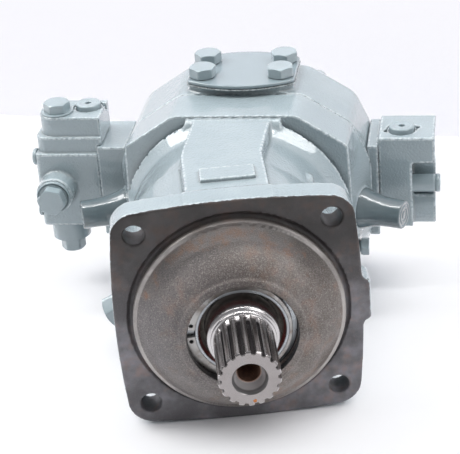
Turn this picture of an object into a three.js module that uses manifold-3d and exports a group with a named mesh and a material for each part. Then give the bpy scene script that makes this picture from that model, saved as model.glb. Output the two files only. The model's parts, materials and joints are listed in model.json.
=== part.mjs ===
// A variable-displacement bent-axis axial piston pump, built as separate solids in millimetres.
//
// Z points up and the drive shaft lies along Y with its splined end towards -Y. Two frames are used:
// the shaft frame, with its origin where the shaft axis crosses the face of the mounting flange, and the
// bent frame of the swivel housing, with its origin at the pivot of the swivel motion and its own Y axis
// turned towards +X. The valve segment, the cylinder block and the pistons stand at zero swivel angle,
// in line with the shaft. The finished group stands on Z = 0 with the middle of its box over the origin.
import * as THREE from "three";
import { mergeVertices } from "three/addons/utils/BufferGeometryUtils.js";
import Module from "manifold-3d";

const wasm = await Module();
wasm.setup();

// ---------------------------------------------------------------- driving dimensions (mm, degrees)

const GAP = 0.3; // between two pieces that touch
const PAST = 5; // how far a cutting tool runs past the face it opens

// Mounting flange, pilot and nose
const FLANGE_WIDTH = 159.2;
const FLANGE_BULGE = 2.6;
const FLANGE_THICKNESS = 20;
const FLANGE_CORNER_RADIUS = 13;
const FLANGE_HOLE_EDGE = 15.95; // from the middle of a hole to the side of the flange
const FLANGE_HOLE_DIAMETER = 14;
const LUG_WIDTH = 32;
const LUG_REACH = 5.3;
const PILOT_DIAMETER = 140;
const PILOT_HEIGHT = 6;
const PILOT_CHAMFER = 1;
const NOSE_HEIGHT = 29.5;
const NOSE_FACE_DIAMETER = 84;
const NOSE_CROWN_POWER = 1.6;
const NOSE_LIP_HEIGHT = 1.5;
const NOSE_LIP_WIDTH = 5;

// Shaft seal and its ring
const SEAL_BORE_DIAMETER = 72;
const SEAL_WIDTH = 10;
const SEAL_FACE_Y = -21.5;
const CIRCLIP_THICKNESS = 2.5;
const CIRCLIP_INNER_DIAMETER = 57.2;
const CIRCLIP_GROOVE_DEPTH = 2.2;
const CIRCLIP_OPENING = 24;

// Drive shaft and its bearings
const SHAFT_END_Y = -82;
const SPLINE_DIAMETER = 39.6;
const SPLINE_TEETH = 18;
const SPLINE_TOOTH_HEIGHT = 2.3;
const SPLINE_LENGTH = 45;
const SEAL_JOURNAL_DIAMETER = 47.4;
const CENTRE_THREAD_DIAMETER = 16;
const CENTRE_THREAD_DEPTH = 36;
const CENTRE_RECESS_DIAMETER = 22;
const CENTRE_RECESS_DEPTH = 5;
const FRONT_BEARING_Y = -7;
const FRONT_BEARING_BORE = 50;
const FRONT_BEARING_OUTER = 80;
const FRONT_BEARING_WIDTH = 20;
const REAR_BEARING_Y = 15;
const REAR_BEARING_BORE = 60;
const REAR_BEARING_OUTER = 110;
const REAR_BEARING_WIDTH = 36;
const ROLLER_COUNT = 10;
const BEARING_NUT_WIDTH = 3;
const DRIVE_FLANGE_DIAMETER = 88;

// Bend of the housing and swivel motion of the cylinder block
const PIVOT_Y = 78;
const BEND_ANGLE = 12;
const NECK_DIAMETER = 152;
const PAD_WIDTH = 57;
const PAD_RISE = 4.2;
const PLAQUE_START_Y = 33;
const PLAQUE_LENGTH = 37;
const PLAQUE_WIDTH = 17.6;
const PLAQUE_HEIGHT = 2.7;

// Rotating group
const PISTON_COUNT = 7;
const BALL_CIRCLE_RADIUS = 31.5;
const PISTON_BALL_RADIUS = 8;
const PISTON_NECK_RADIUS = 4.5;
const PISTON_HEAD_RADIUS = 9.2;
const PISTON_HEAD_LENGTH = 10;
const PISTON_LENGTH = 58;
const PISTON_BORE_RADIUS = 10.3;
const SOCKET_CLEARANCE = 1;
const RETAINER_THICKNESS = 3.3;
const CENTRE_BALL_RADIUS = 9;
const CENTRE_HOLE_EASE = 0.5; // lets the centre pin lean at full swing
const CENTRE_PIN_RADIUS = 6.5;
const CENTRE_SPRING_START = 44;
const CENTRE_SPRING_END = 66;
const CENTRE_SPRING_WIRE = 2.2;
const CENTRE_SPRING_TURNS = 4;
const BLOCK_FRONT = 30;
const BLOCK_RADIUS = 46;
const BLOCK_REAR_RADIUS = 39.5;
const BLOCK_TAPER_LENGTH = 10;
const PORT_SPHERE_RADIUS = 140;
const BLOCK_PORT_DEPTH = 6;

// Valve segment, which slides on a round track behind the cylinder block
const TRACK_RADIUS = 106.3;
const SEGMENT_THICKNESS = 22.3; // at its middle, with its gap to the cylinder block and the track
const SEGMENT_HALF_WIDTH = 40;
const SEGMENT_HALF_HEIGHT = 46;
const KIDNEY_RADIUS = 29;
const KIDNEY_WIDTH = 9;
const KIDNEY_HALF_ANGLE = 58;

// Front housing block and end housing, in the bent frame
const BLOCK_FACE_Y = 50;
const BLOCK_FACE_CHAMFER = 4.5;
const JOINT_AHEAD = 12.3; // of the track behind the valve segment
const JOINT_GAP = 1;
const END_FACE_BEHIND = 34; // the control cylinder's axis
const END_EDGE_DEPTH = 9;
const END_EDGE_INSET = 8;
const TOP_HALF_WIDTH = 44;
const SHOULDER_X = 80.6;
const SHOULDER_Z = 57;
const SIDE_HALF_HEIGHT = 28;
const SIDE_X_FRONT = 81.5;
const SIDE_X_REAR = 93.5;
const SEAT_X = 90;
const FACE_FILLET = 9;
const NECK_WALL = 9;
const CAVITY_START_Y = -12;
const SPIGOT_LENGTH = 8;
const SEGMENT_ROOM_X = 62;
const SEGMENT_ROOM_Z = 48;
const SEGMENT_ROOM_DEPTH = 20; // ahead of the joint

// Ports and the blanking cover of the top port
const PORT_AHEAD = 4; // of the control cylinder's axis
const TOP_PORT_DIAMETER = 25;
const COVER_SEAT_HEIGHT = 4.6;
const COVER_GASKET_THICKNESS = 0.9;
const COVER_THICKNESS = 2.7;
const COVER_LENGTH = 79;
const COVER_SIDE_WIDTH = 44;
const COVER_MIDDLE_WIDTH = 68;
const COVER_BOLT_SPACING_X = 57.2;
const COVER_BOLT_SPACING_Y = 27.8;
const SUCTION_PORT_DIAMETER = 40;
const SUCTION_BOLT_SPACING_X = 69.9;
const SUCTION_BOLT_SPACING_Y = 35.7;
const PORT_THREAD_DEPTH = 20;
const PORT_FLOOR_Z = 21;
const BOLT_RADIUS = 6;
const BOLT_HEAD_FLATS = 18;
const BOLT_HEAD_HEIGHT = 7.5;
const WINDOW_HALF_LENGTH = 30;

// Bolts that hold the end housing
const HOUSING_BOLT_X = 50;
const HOUSING_BOLT_EDGE = 16.2; // from the middle of a bolt to the top or bottom face
const HOUSING_BOLT_RADIUS = 5;
const HOUSING_BOLT_ENTRY = 28; // past the joint
const SOCKET_HEAD_RADIUS = 8;
const SOCKET_HEAD_HEIGHT = 10;
const SOCKET_FLATS = 8;
const COUNTERBORE_DEPTH = 11;

// Control cylinder across the end housing
const CONTROL_WEB = 4.7; // between the track and the control bore
const CONTROL_BORE_RADIUS = 15;
const CONTROL_PISTON_LENGTH = 60;
const CONTROL_END_CLEARANCE = 1;
const POSITION_PIN_RADIUS = 4;
const POSITION_BALL_RADIUS = 4.9;
const POSITION_BALL_SINK = 5.3; // from the track to the middle of the pin's ball

// Blocks that close the control cylinder and carry the valve blocks
const END_BLOCK_AHEAD = 28; // of the control cylinder's axis
const END_BLOCK_BEHIND = 22;
const END_BLOCK_TOP_Z = 38;
const END_BLOCK_BOTTOM_Z = -35;

// Left valve block
const LEFT_INNER_X = -109;
const LEFT_OUTER_X = -158.5;
const LEFT_AHEAD = 28; // of the control cylinder's axis
const LEFT_BEHIND = 11.5;
const LEFT_BOTTOM_Z = -26;
const LEFT_MAIN_TOP_Z = 32.5;
const LEFT_STEP_TOP_Z = 45;
const LEFT_TOP_Z = 60.3;
const LEFT_STEP_INSET = 3;
const LEFT_CORNER_RADIUS = 4;
const SPOOL_X = -143.8;
const SPOOL_AHEAD = 10;
const SPOOL_BORE_RADIUS = 6;
const SPOOL_RADIUS = 5.6;
const SPOOL_LENGTH = 46;
const SPOOL_BOTTOM_Z = -20;
const SPOOL_TRAVEL = 2.5;
const TOP_PLUG_FLATS = 18;
const TOP_PLUG_COLLAR_RADIUS = 12;
const TOP_PLUG_COLLAR_HEIGHT = 2;
const TOP_PLUG_HEAD_HEIGHT = 5.8;
const TOP_PLUG_THREAD_LENGTH = 10;
const FRONT_BOSS_X = -145.5;
const FRONT_BOSS_Z = 4.5;
const FRONT_BOSS_RADIUS = 14;
const FRONT_BOSS_LENGTH = 14;
const FRONT_RING_RADIUS = 12.8;
const FRONT_RING_WIDTH = 2;
const FRONT_PLUG_FLATS = 19;
const FRONT_PLUG_HEAD_LENGTH = 8;
const FRONT_PLUG_THREAD_RADIUS = 8;
const FRONT_PLUG_THREAD_LENGTH = 15;
const BOTTOM_PLUG_COLLAR_RADIUS = 15;
const BOTTOM_PLUG_COLLAR_HEIGHT = 17;
const BOTTOM_PLUG_FLATS = 17;
const BOTTOM_PLUG_HEAD_HEIGHT = 12;
const LEFT_CAP_X = -121.6;
const LEFT_CAP_AHEAD = 0.5;
const SIDE_PLUG_UPPER_AHEAD = 19;
const SIDE_PLUG_UPPER_Z = 27;
const SIDE_PLUG_UPPER_RADIUS = 6.5;
const SIDE_PLUG_LOWER_AHEAD = 20;
const SIDE_PLUG_LOWER_Z = -16;
const SIDE_PLUG_LOWER_RADIUS = 4.5;
const SIDE_PLUG_STAND = 3;

// Plugs held by a ring, one on each valve block
const CAP_PLUG_RADIUS = 9.5;
const CAP_PLUG_STAND = 2.2;
const CAP_PLUG_DEPTH = 14;
const CAP_RECESS_RADIUS = 11.2;
const CAP_RECESS_DEPTH = 2.8;
const CAP_RING_THICKNESS = 1.5;
const CAP_POCKET_RADIUS = 2.4;
const CAP_POCKET_DEPTH = 5;
const CAP_POCKET_ANGLE = 16;

// Right valve block
const RIGHT_INNER_X = 98.6;
const RIGHT_OUTER_X = 139.8;
const RIGHT_AHEAD = 27.5; // of the control cylinder's axis
const RIGHT_BEHIND = 15;
const RIGHT_BOTTOM_Z = -28.5;
const RIGHT_TOP_Z = 44;
const RIGHT_CAP_X = 115.2;
const RIGHT_CAP_AHEAD = 10.3;
const NOTCH_X = 123;
const NOTCH_TOP_Z = 23.7;
const NOTCH_BOTTOM_Z = -4;
const NOTCH_DEPTH = 17;
const LOWER_STEP = 3;
const ADJUSTER_RADIUS = 6.2;
const ADJUSTER_AHEAD = 19;
const ADJUSTER_Z = 4;
const ADJUSTER_STAND = 3.4;
const ADJUSTER_DEPTH = 12;

// Stop screws of the swivel motion and their caps
const STOP_ANGLE = 20;
const STOP_LINE_SINK = 6.8; // from the track to the nearest point of a stop screw's line
const STOP_SEAT = 57.5;
const STOP_BOSS_RADIUS = 17;
const STOP_BOSS_LENGTH = 9.5;
const STOP_SPOT_RADIUS = 16;
const STOP_SPOT_DEPTH = 0.5;
const STOP_SCREW_RADIUS = 6;
const STOP_TIP_RADIUS = 3;
const STOP_SCREW_STAND = 20;
const STOP_CAP_LENGTH = 31;
const STOP_CAP_FOOT_RADIUS = 14.6;
const STOP_CAP_FLARE = 14;
const STOP_CAP_RADIUS = 10.8;
const STOP_CAP_END_RADIUS = 10;
const STOP_CAP_HOLLOW_RADIUS = 8;
const STOP_CAP_WALL = 4;

// Drain plugs
const DRAIN_ANGLE = 209;
const DRAIN_Y = 8;
const DRAIN_BOSS_RADIUS = 15;
const DRAIN_SEAT = 92;
const DRAIN_FLATS = 22;
const DRAIN_HEAD_LENGTH = 13;
const DRAIN_THREAD_RADIUS = 9;
const DRAIN_THREAD_LENGTH = 12;
const BLEED_Y = 63;
const BLEED_Z = -26;
const BLEED_FLATS = 12;
const BLEED_HEAD_LENGTH = 6;
const BLEED_THREAD_RADIUS = 4;
const BLEED_THREAD_LENGTH = 10;

// Faces round a full circle
const FINE = 36;
const MEDIUM = 24;
const COARSE = 16;
const SMALL = 12;

// ---------------------------------------------------------------- sizes that follow from them

const radians = THREE.MathUtils.degToRad;
const FLANGE_HOLE_SPACING = FLANGE_WIDTH - 2 * FLANGE_HOLE_EDGE;
const HALF_HEIGHT = FLANGE_WIDTH / 2 + FLANGE_BULGE; // flange and housing stand on one level
const PAD_Z = NECK_DIAMETER / 2 + PAD_RISE;
const CAVITY_RADIUS = NECK_DIAMETER / 2 - NECK_WALL;
const HOUSING_BOLT_Z = HALF_HEIGHT - HOUSING_BOLT_EDGE;
const BLOCK_REAR = TRACK_RADIUS - SEGMENT_THICKNESS;
const BLOCK_TAPER_Y = BLOCK_REAR - BLOCK_TAPER_LENGTH;
const SEGMENT_RADIUS = TRACK_RADIUS - GAP;
const CONTROL_Y = TRACK_RADIUS + CONTROL_WEB + CONTROL_BORE_RADIUS;
const JOINT_Y = TRACK_RADIUS - JOINT_AHEAD;
const SEGMENT_ROOM_Y = JOINT_Y - SEGMENT_ROOM_DEPTH;
const HOUSING_BOLT_REACH = JOINT_Y - HOUSING_BOLT_ENTRY;
const END_FACE_Y = CONTROL_Y + END_FACE_BEHIND;
const END_EDGE_Y = END_FACE_Y - END_EDGE_DEPTH;
const PORT_Y = CONTROL_Y - PORT_AHEAD;
const LEFT_FRONT_Y = CONTROL_Y - LEFT_AHEAD;
const LEFT_REAR_Y = CONTROL_Y + LEFT_BEHIND;
const LEFT_CAP_Y = CONTROL_Y - LEFT_CAP_AHEAD;
const SPOOL_Y = CONTROL_Y - SPOOL_AHEAD;
const SIDE_PLUG_UPPER_Y = CONTROL_Y - SIDE_PLUG_UPPER_AHEAD;
const SIDE_PLUG_LOWER_Y = CONTROL_Y - SIDE_PLUG_LOWER_AHEAD;
const RIGHT_FRONT_Y = CONTROL_Y - RIGHT_AHEAD;
const RIGHT_REAR_Y = CONTROL_Y + RIGHT_BEHIND;
const RIGHT_CAP_Y = CONTROL_Y - RIGHT_CAP_AHEAD;
const ADJUSTER_Y = CONTROL_Y - ADJUSTER_AHEAD;
const END_BLOCK_FRONT_Y = CONTROL_Y - END_BLOCK_AHEAD;
const END_BLOCK_REAR_Y = CONTROL_Y + END_BLOCK_BEHIND;
const POSITION_BALL_Y = TRACK_RADIUS - POSITION_BALL_SINK;
const STOP_LINE_RADIUS = TRACK_RADIUS - STOP_LINE_SINK;
const SEAT_TOP_Z = HALF_HEIGHT + COVER_SEAT_HEIGHT;
const COVER_START_Z = SEAT_TOP_Z + COVER_GASKET_THICKNESS + 2 * GAP;
const END_START_Y = JOINT_Y + JOINT_GAP;
const CONTROL_TRAVEL = 2 * POSITION_BALL_Y * Math.tan(radians(BEND_ANGLE));

// ---------------------------------------------------------------- geometry helpers

const v2 = (x, y) => new THREE.Vector2(x, y);

/** The signed area of a closed profile: positive when it runs anticlockwise. */
function signedArea(points) {
  const terms = points.map((p, i) => p.cross(points[(i + 1) % points.length]));
  return terms.reduce((sum, term) => sum + term, 0) / 2;
}

/** A solid of revolution about Y from a closed profile of [radius, y] pairs. */
function lathe(pairs, segments = FINE) {
  const profile = pairs.map(([r, y]) => v2(r, y));
  const outward = signedArea(profile) < 0 ? profile.reverse() : profile;
  return new THREE.LatheGeometry([...outward, outward[0].clone()], segments);
}

/** A closed shape through [x, y] pairs. */
function polygon(pairs) {
  return new THREE.Shape(pairs.map(([x, y]) => v2(x, y)));
}

/** A shape drawn in X and Y, carried along Z. */
function alongZ(shape, from, to, curveSegments = 8) {
  const options = { depth: to - from, bevelEnabled: false, curveSegments };
  return new THREE.ExtrudeGeometry(shape, options).translate(0, 0, from);
}

/** A shape drawn in X and Z, carried along Y. */
function alongY(shape, from, to, curveSegments = 8) {
  return alongZ(shape, -to, -from, curveSegments).rotateX(Math.PI / 2);
}

/** A shape drawn in Y and Z, carried along X. */
function alongX(shape, from, to, curveSegments = 8) {
  const turn = new THREE.Matrix4().set(0, 0, 1, 0, 1, 0, 0, 0, 0, 1, 0, 0, 0, 0, 0, 1);
  return alongZ(shape, from, to, curveSegments).applyMatrix4(turn);
}

/** A box between two opposite corners. */
function boxBetween([x0, y0, z0], [x1, y1, z1]) {
  const box = new THREE.BoxGeometry(x1 - x0, y1 - y0, z1 - z0);
  return box.translate((x0 + x1) / 2, (y0 + y1) / 2, (z0 + z1) / 2);
}

/** Turns a geometry built round the Y axis so that its axis points along a direction from a point. */
function aimed(geometry, origin, direction) {
  const turn = new THREE.Quaternion().setFromUnitVectors(
    new THREE.Vector3(0, 1, 0),
    new THREE.Vector3(...direction).normalize(),
  );
  return geometry.applyQuaternion(turn).translate(...origin);
}

/** A round bar from one distance to another along a direction from a point. */
function bar(radius, from, to, origin, direction, segments = COARSE) {
  const rod = new THREE.CylinderGeometry(radius, radius, to - from, segments);
  return aimed(rod.translate(0, (from + to) / 2, 0), origin, direction);
}

/** A six-sided bar, with its size given across the flats. */
function hexBar(flats, from, to, origin, direction) {
  return bar(flats / Math.sqrt(3), from, to, origin, direction, 6);
}

/** A ball, with its poles on the Y axis. */
function ball(radius, origin, segments = COARSE) {
  return new THREE.SphereGeometry(radius, segments, segments / 2).translate(...origin);
}

/** The convex solid between two outlines of [x, z] pairs that hold as many points, at two places along Y. */
function loft(sections) {
  const count = sections[0].outline.length;
  const rings = sections.map(({ outline, y }) => outline.map(([x, z]) => [x, y, z]));
  const vertices = rings.flat();
  const faces = [];
  for (let s = 0; s + 1 < sections.length; s += 1) {
    for (let i = 0; i < count; i += 1) {
      const j = (i + 1) % count;
      const [a, b, c, d] = [s * count + i, s * count + j, (s + 1) * count + j, (s + 1) * count + i];
      faces.push(a, b, c, a, c, d);
    }
  }
  const last = (sections.length - 1) * count;
  for (let i = 1; i + 1 < count; i += 1) {
    faces.push(0, i + 1, i, last, last + i, last + i + 1);
  }
  const geometry = new THREE.BufferGeometry();
  geometry.setAttribute("position", new THREE.Float32BufferAttribute(vertices.flat(), 3));
  geometry.setIndex(faces);
  return geometry;
}

/** A closed coil of round wire about Y. */
function coil({ meanRadius, wire, from, to, turns, steps = 8 }) {
  class Helix extends THREE.Curve {
    getPoint(t) {
      const angle = 2 * Math.PI * turns * t;
      const y = from + wire / 2 + t * (to - from - wire);
      return new THREE.Vector3(meanRadius * Math.cos(angle), y, meanRadius * Math.sin(angle));
    }
  }
  const section = new THREE.Shape().absarc(0, 0, wire / 2, 0, 2 * Math.PI);
  const options = { steps: steps * turns, curveSegments: 3, extrudePath: new Helix() };
  return new THREE.ExtrudeGeometry(section, options);
}

/** A closed geometry as a solid that can be joined and cut. */
function solid(geometry) {
  const bare = new THREE.BufferGeometry();
  bare.setAttribute("position", geometry.getAttribute("position"));
  if (geometry.index) bare.setIndex(geometry.index);
  const merged = mergeVertices(bare, 1e-4);
  const corners = merged.index.array;
  const kept = [];
  for (let i = 0; i < corners.length; i += 3) {
    const [a, b, c] = corners.slice(i, i + 3);
    if (a !== b && b !== c && c !== a) kept.push(a, b, c);
  }
  const vertProperties = new Float32Array(merged.getAttribute("position").array);
  const mesh = new wasm.Mesh({ numProp: 3, vertProperties, triVerts: new Uint32Array(kept) });
  const made = new wasm.Manifold(mesh);
  if (made.volume() > 0) return made;
  const turned = Uint32Array.from(kept.map((_, i) => kept[i - (i % 3) + (2 - (i % 3))]));
  return new wasm.Manifold(new wasm.Mesh({ numProp: 3, vertProperties, triVerts: turned }));
}

/** All of some geometries joined into one solid, less all of some others. */
function build(joined, cut = []) {
  const whole = joined.map(solid).reduce((sum, part) => sum.add(part));
  return cut.map(solid).reduce((rest, tool) => rest.subtract(tool), whole);
}

/** A solid as a three.js geometry. */
function geometryOf(made) {
  const { vertProperties, triVerts } = made.getMesh();
  const geometry = new THREE.BufferGeometry();
  geometry.setAttribute("position", new THREE.Float32BufferAttribute(vertProperties, 3));
  geometry.setIndex([...triVerts]);
  geometry.computeVertexNormals();
  return geometry;
}

// ---------------------------------------------------------------- finishes

const finish = (color, roughness, metalness) => () =>
  new THREE.MeshStandardMaterial({ color, roughness, metalness });
const paint = finish(0xa3acae, 0.35, 0.1);
const groundSteel = finish(0xb9b4b0, 0.3, 0.9);
const darkSteel = finish(0x77746f, 0.45, 0.8);
const bronze = finish(0xb08d57, 0.4, 0.8);
const springSteel = finish(0x8f9396, 0.35, 0.85);
const sealRubber = finish(0x5a1f1a, 0.6, 0);
const gasketPaper = finish(0x2b2d2e, 0.8, 0);

/** A named mesh for one piece. */
function piece(name, material, made) {
  const mesh = new THREE.Mesh(made.isBufferGeometry ? made : geometryOf(made), material());
  mesh.name = name;
  return mesh;
}

// ---------------------------------------------------------------- frames

const X = [1, 0, 0];
const Y = [0, 1, 0];
const Z = [0, 0, 1];
const LEFT = [-1, 0, 0];
const DOWN = [0, 0, -1];
const FORWARD = [0, -1, 0];
const PIVOT = new THREE.Vector3(0, PIVOT_Y, 0);

/** The place of the bent frame in the shaft frame. */
function bentFrame() {
  const turn = new THREE.Matrix4().makeRotationZ(-radians(BEND_ANGLE));
  return new THREE.Matrix4().makeTranslation(PIVOT).multiply(turn);
}

const bent = (geometry) => geometry.applyMatrix4(bentFrame());
const fromPivot = (geometry) => geometry.translate(0, PIVOT_Y, 0);

// ---------------------------------------------------------------- outlines

/** The flange outline: four bulging sides, round corners and a lug at the middle of the right side. */
function flangeOutline() {
  const half = FLANGE_WIDTH / 2;
  const flat = half - FLANGE_CORNER_RADIUS;
  const shape = new THREE.Shape();
  const quarters = [0, 1, 2, 3];
  const turned = (x, z, quarter) => v2(x, z).rotateAround(v2(0, 0), (quarter * Math.PI) / 2);
  shape.moveTo(half, -flat);
  for (const quarter of quarters) {
    const end = turned(half, flat, quarter);
    const control = turned(half + 2 * FLANGE_BULGE, 0, quarter);
    const centre = turned(flat, flat, quarter);
    const start = (quarter * Math.PI) / 2;
    shape.quadraticCurveTo(control.x, control.y, end.x, end.y);
    shape.absarc(centre.x, centre.y, FLANGE_CORNER_RADIUS, start, start + Math.PI / 2);
  }
  return shape;
}

/** The twelve-sided section of the housing, with a given half-width at its sides. */
function housingSection(sideX, inset = 0) {
  const right = [
    [TOP_HALF_WIDTH - inset / 2, HALF_HEIGHT - inset],
    [SHOULDER_X - inset, SHOULDER_Z - inset / 2],
    [sideX - inset, SIDE_HALF_HEIGHT],
    [sideX - inset, -SIDE_HALF_HEIGHT],
    [SHOULDER_X - inset, -SHOULDER_Z + inset / 2],
    [TOP_HALF_WIDTH - inset / 2, -HALF_HEIGHT + inset],
  ];
  const left = right.map(([x, z]) => [-x, z]).reverse();
  return [...right, ...left].reverse();
}

/** The cover outline in the bent frame: straight ends and bulging long sides. */
function coverOutline(grow = 0) {
  const halfLength = COVER_LENGTH / 2 + grow;
  const halfSide = COVER_SIDE_WIDTH / 2 + grow;
  const control = COVER_MIDDLE_WIDTH + grow * 2 - halfSide;
  const shape = new THREE.Shape();
  shape.moveTo(halfLength, PORT_Y - halfSide);
  shape.lineTo(halfLength, PORT_Y + halfSide);
  shape.quadraticCurveTo(0, PORT_Y + control, -halfLength, PORT_Y + halfSide);
  shape.lineTo(-halfLength, PORT_Y - halfSide);
  shape.quadraticCurveTo(0, PORT_Y - control, halfLength, PORT_Y - halfSide);
  return shape;
}

/** A bolt pattern's places, as [x, y] pairs about the port axis. */
function portPattern(spacingX, spacingY) {
  const signs = [[-1, -1], [1, -1], [1, 1], [-1, 1]];
  return signs.map(([i, j]) => [(i * spacingX) / 2, PORT_Y + (j * spacingY) / 2]);
}

/** The housing bolts' places, as [x, z] pairs. */
function housingBoltPlaces() {
  const signs = [[-1, 1], [1, 1], [1, -1], [-1, -1]];
  return signs.map(([i, k]) => [i * HOUSING_BOLT_X, k * HOUSING_BOLT_Z]);
}

// ---------------------------------------------------------------- stop screws: their line and reach

/** Where a stop screw's axis touches its circle about the pivot, and its outward direction. */
function stopLine(side) {
  const angle = radians(STOP_ANGLE);
  const touch = [side * STOP_LINE_RADIUS * Math.sin(angle), STOP_LINE_RADIUS * Math.cos(angle), 0];
  return { touch, outward: [side * Math.cos(angle), -Math.sin(angle), 0] };
}

/** How far out along its line the stop screw's tip meets the side of the valve segment at its limit. */
function stopReach() {
  const { touch, outward } = stopLine(1);
  const normal = [Math.cos(radians(BEND_ANGLE)), -Math.sin(radians(BEND_ANGLE))];
  const along = normal[0] * outward[0] + normal[1] * outward[1];
  const start = normal[0] * touch[0] + normal[1] * touch[1];
  const skew = STOP_TIP_RADIUS * Math.tan(radians(STOP_ANGLE - BEND_ANGLE));
  return (SEGMENT_HALF_WIDTH + GAP - start) / along + skew;
}

// ---------------------------------------------------------------- front housing

/** The pilot and crowned nose in front of the flange, as a ring about the shaft bore. */
function noseRing() {
  const pilot = PILOT_DIAMETER / 2;
  const face = NOSE_FACE_DIAMETER / 2;
  const rim = pilot - PILOT_CHAMFER;
  const crown = [0, 0.25, 0.5, 0.75, 1].map((t) => {
    const rise = (NOSE_HEIGHT - PILOT_HEIGHT - PILOT_CHAMFER) * (1 - (1 - t) ** NOSE_CROWN_POWER);
    return [rim + t * (face - rim), -(PILOT_HEIGHT + PILOT_CHAMFER + rise)];
  });
  const lipTop = -(NOSE_HEIGHT + NOSE_LIP_HEIGHT);
  const bore = SEAL_BORE_DIAMETER / 2;
  return lathe([
    [bore - PAST, FLANGE_THICKNESS / 2],
    [pilot, FLANGE_THICKNESS / 2],
    [pilot, -PILOT_HEIGHT],
    ...crown,
    [bore + NOSE_LIP_WIDTH, lipTop],
    [bore - PAST, lipTop],
  ]);
}

/** Where the shaft seal ends behind, with its gap. */
const sealRear = () => SEAL_FACE_Y + SEAL_WIDTH + GAP;

/** The bore for the seal and the groove of its ring, as a cutting tool about the shaft axis. */
function sealBore() {
  const seal = SEAL_BORE_DIAMETER / 2;
  const groove = seal + CIRCLIP_GROOVE_DEPTH;
  const grooveRear = SEAL_FACE_Y - GAP;
  const grooveFront = grooveRear - CIRCLIP_THICKNESS - GAP;
  return lathe([
    [0, -NOSE_HEIGHT - PAST],
    [seal, -NOSE_HEIGHT - PAST],
    [seal, grooveFront],
    [groove, grooveFront],
    [groove, grooveRear],
    [seal, grooveRear],
    [seal, sealRear()],
    [0, sealRear()],
  ]);
}

/** The stepped bore for the two bearings, as a cutting tool about the shaft axis. */
function bearingBore() {
  const web = FRONT_BEARING_OUTER / 2 - 6;
  const front = FRONT_BEARING_OUTER / 2 + GAP;
  const rear = REAR_BEARING_OUTER / 2 + GAP;
  return lathe(
    [
      [0, sealRear() - 1],
      [web, sealRear() - 1],
      [web, FRONT_BEARING_Y - GAP],
      [front, FRONT_BEARING_Y - GAP],
      [front, REAR_BEARING_Y - GAP],
      [rear, REAR_BEARING_Y - GAP],
      [rear, PIVOT_Y],
      [0, PIVOT_Y],
    ],
    MEDIUM,
  );
}

/** The pad along the top of the neck in one frame, between two places along Y. */
function pad(from, to) {
  const half = PAD_WIDTH / 2;
  const low = PAD_Z - 20;
  return alongY(
    polygon([
      [-half - 3, low],
      [half + 3, low],
      [half + 1, PAD_Z - 1.2],
      [half - 0.5, PAD_Z],
      [-half + 0.5, PAD_Z],
      [-half - 1, PAD_Z - 1.2],
    ]),
    from,
    to,
  );
}

/** The round fillet between the neck and the face of the housing block, kept inside the block's outline. */
function faceFillet() {
  const neck = NECK_DIAMETER / 2;
  const arc = [0, 1, 2, 3].map((i) => {
    const angle = (i / 3) * (Math.PI / 2);
    return [neck + FACE_FILLET * (1 - Math.cos(angle)), BLOCK_FACE_Y - FACE_FILLET * (1 - Math.sin(angle))];
  });
  const ring = lathe([[neck - PAST, BLOCK_FACE_Y - FACE_FILLET], ...arc, [neck - PAST, BLOCK_FACE_Y + 1]]);
  const outline = housingSection(SIDE_X_FRONT, BLOCK_FACE_CHAMFER);
  const allowed = loft([
    { outline, y: BLOCK_FACE_Y - FACE_FILLET - 1 },
    { outline, y: BLOCK_FACE_Y + 2 },
  ]);
  return geometryOf(solid(ring).intersect(solid(allowed)));
}

/** The bearing neck and the housing block as solid forms in the shaft frame. */
function castForms() {
  const neck = NECK_DIAMETER / 2;
  const mitre = neck * Math.tan(radians(BEND_ANGLE / 2));
  const padMitre = (PAD_WIDTH / 2) * Math.tan(radians(BEND_ANGLE / 2));
  const padFront = FLANGE_THICKNESS - 2;
  const block = loft([
    { outline: housingSection(SIDE_X_FRONT, BLOCK_FACE_CHAMFER), y: BLOCK_FACE_Y },
    { outline: housingSection(SIDE_X_FRONT), y: BLOCK_FACE_Y + BLOCK_FACE_CHAMFER },
    { outline: housingSection(SIDE_X_REAR), y: JOINT_Y },
  ]);
  const upright = [
    bar(neck, FLANGE_THICKNESS - 1, PIVOT_Y + mitre, [0, 0, 0], Y, FINE),
    pad(padFront, PIVOT_Y + padMitre),
    pad(padFront, PIVOT_Y + padMitre).rotateY(Math.PI),
  ];
  const leaning = [
    bar(neck, -mitre, BLOCK_FACE_Y + 1, [0, 0, 0], Y, FINE),
    pad(-padMitre, BLOCK_FACE_Y + 1),
    pad(-padMitre, BLOCK_FACE_Y + 1).rotateY(Math.PI),
    faceFillet(),
    block,
    ...[-1, 1].map(stopBoss),
    drainBoss(),
  ];
  return [...upright, ...leaning.map(bent)];
}

/** The round seat of a stop cap on the side of the housing block. */
function stopBoss(side) {
  const { touch, outward } = stopLine(side);
  return bar(STOP_BOSS_RADIUS, STOP_SEAT - STOP_BOSS_LENGTH, STOP_SEAT + STOP_SPOT_DEPTH, touch, outward, MEDIUM);
}

/** The outward direction of the drain plug from the pivot. */
function drainDirection() {
  return [Math.cos(radians(DRAIN_ANGLE)), 0, Math.sin(radians(DRAIN_ANGLE))];
}

/** The round boss that carries the drain plug. */
function drainBoss() {
  return bar(DRAIN_BOSS_RADIUS, CAVITY_RADIUS + 3, DRAIN_SEAT, [0, DRAIN_Y, 0], drainDirection());
}

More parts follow.
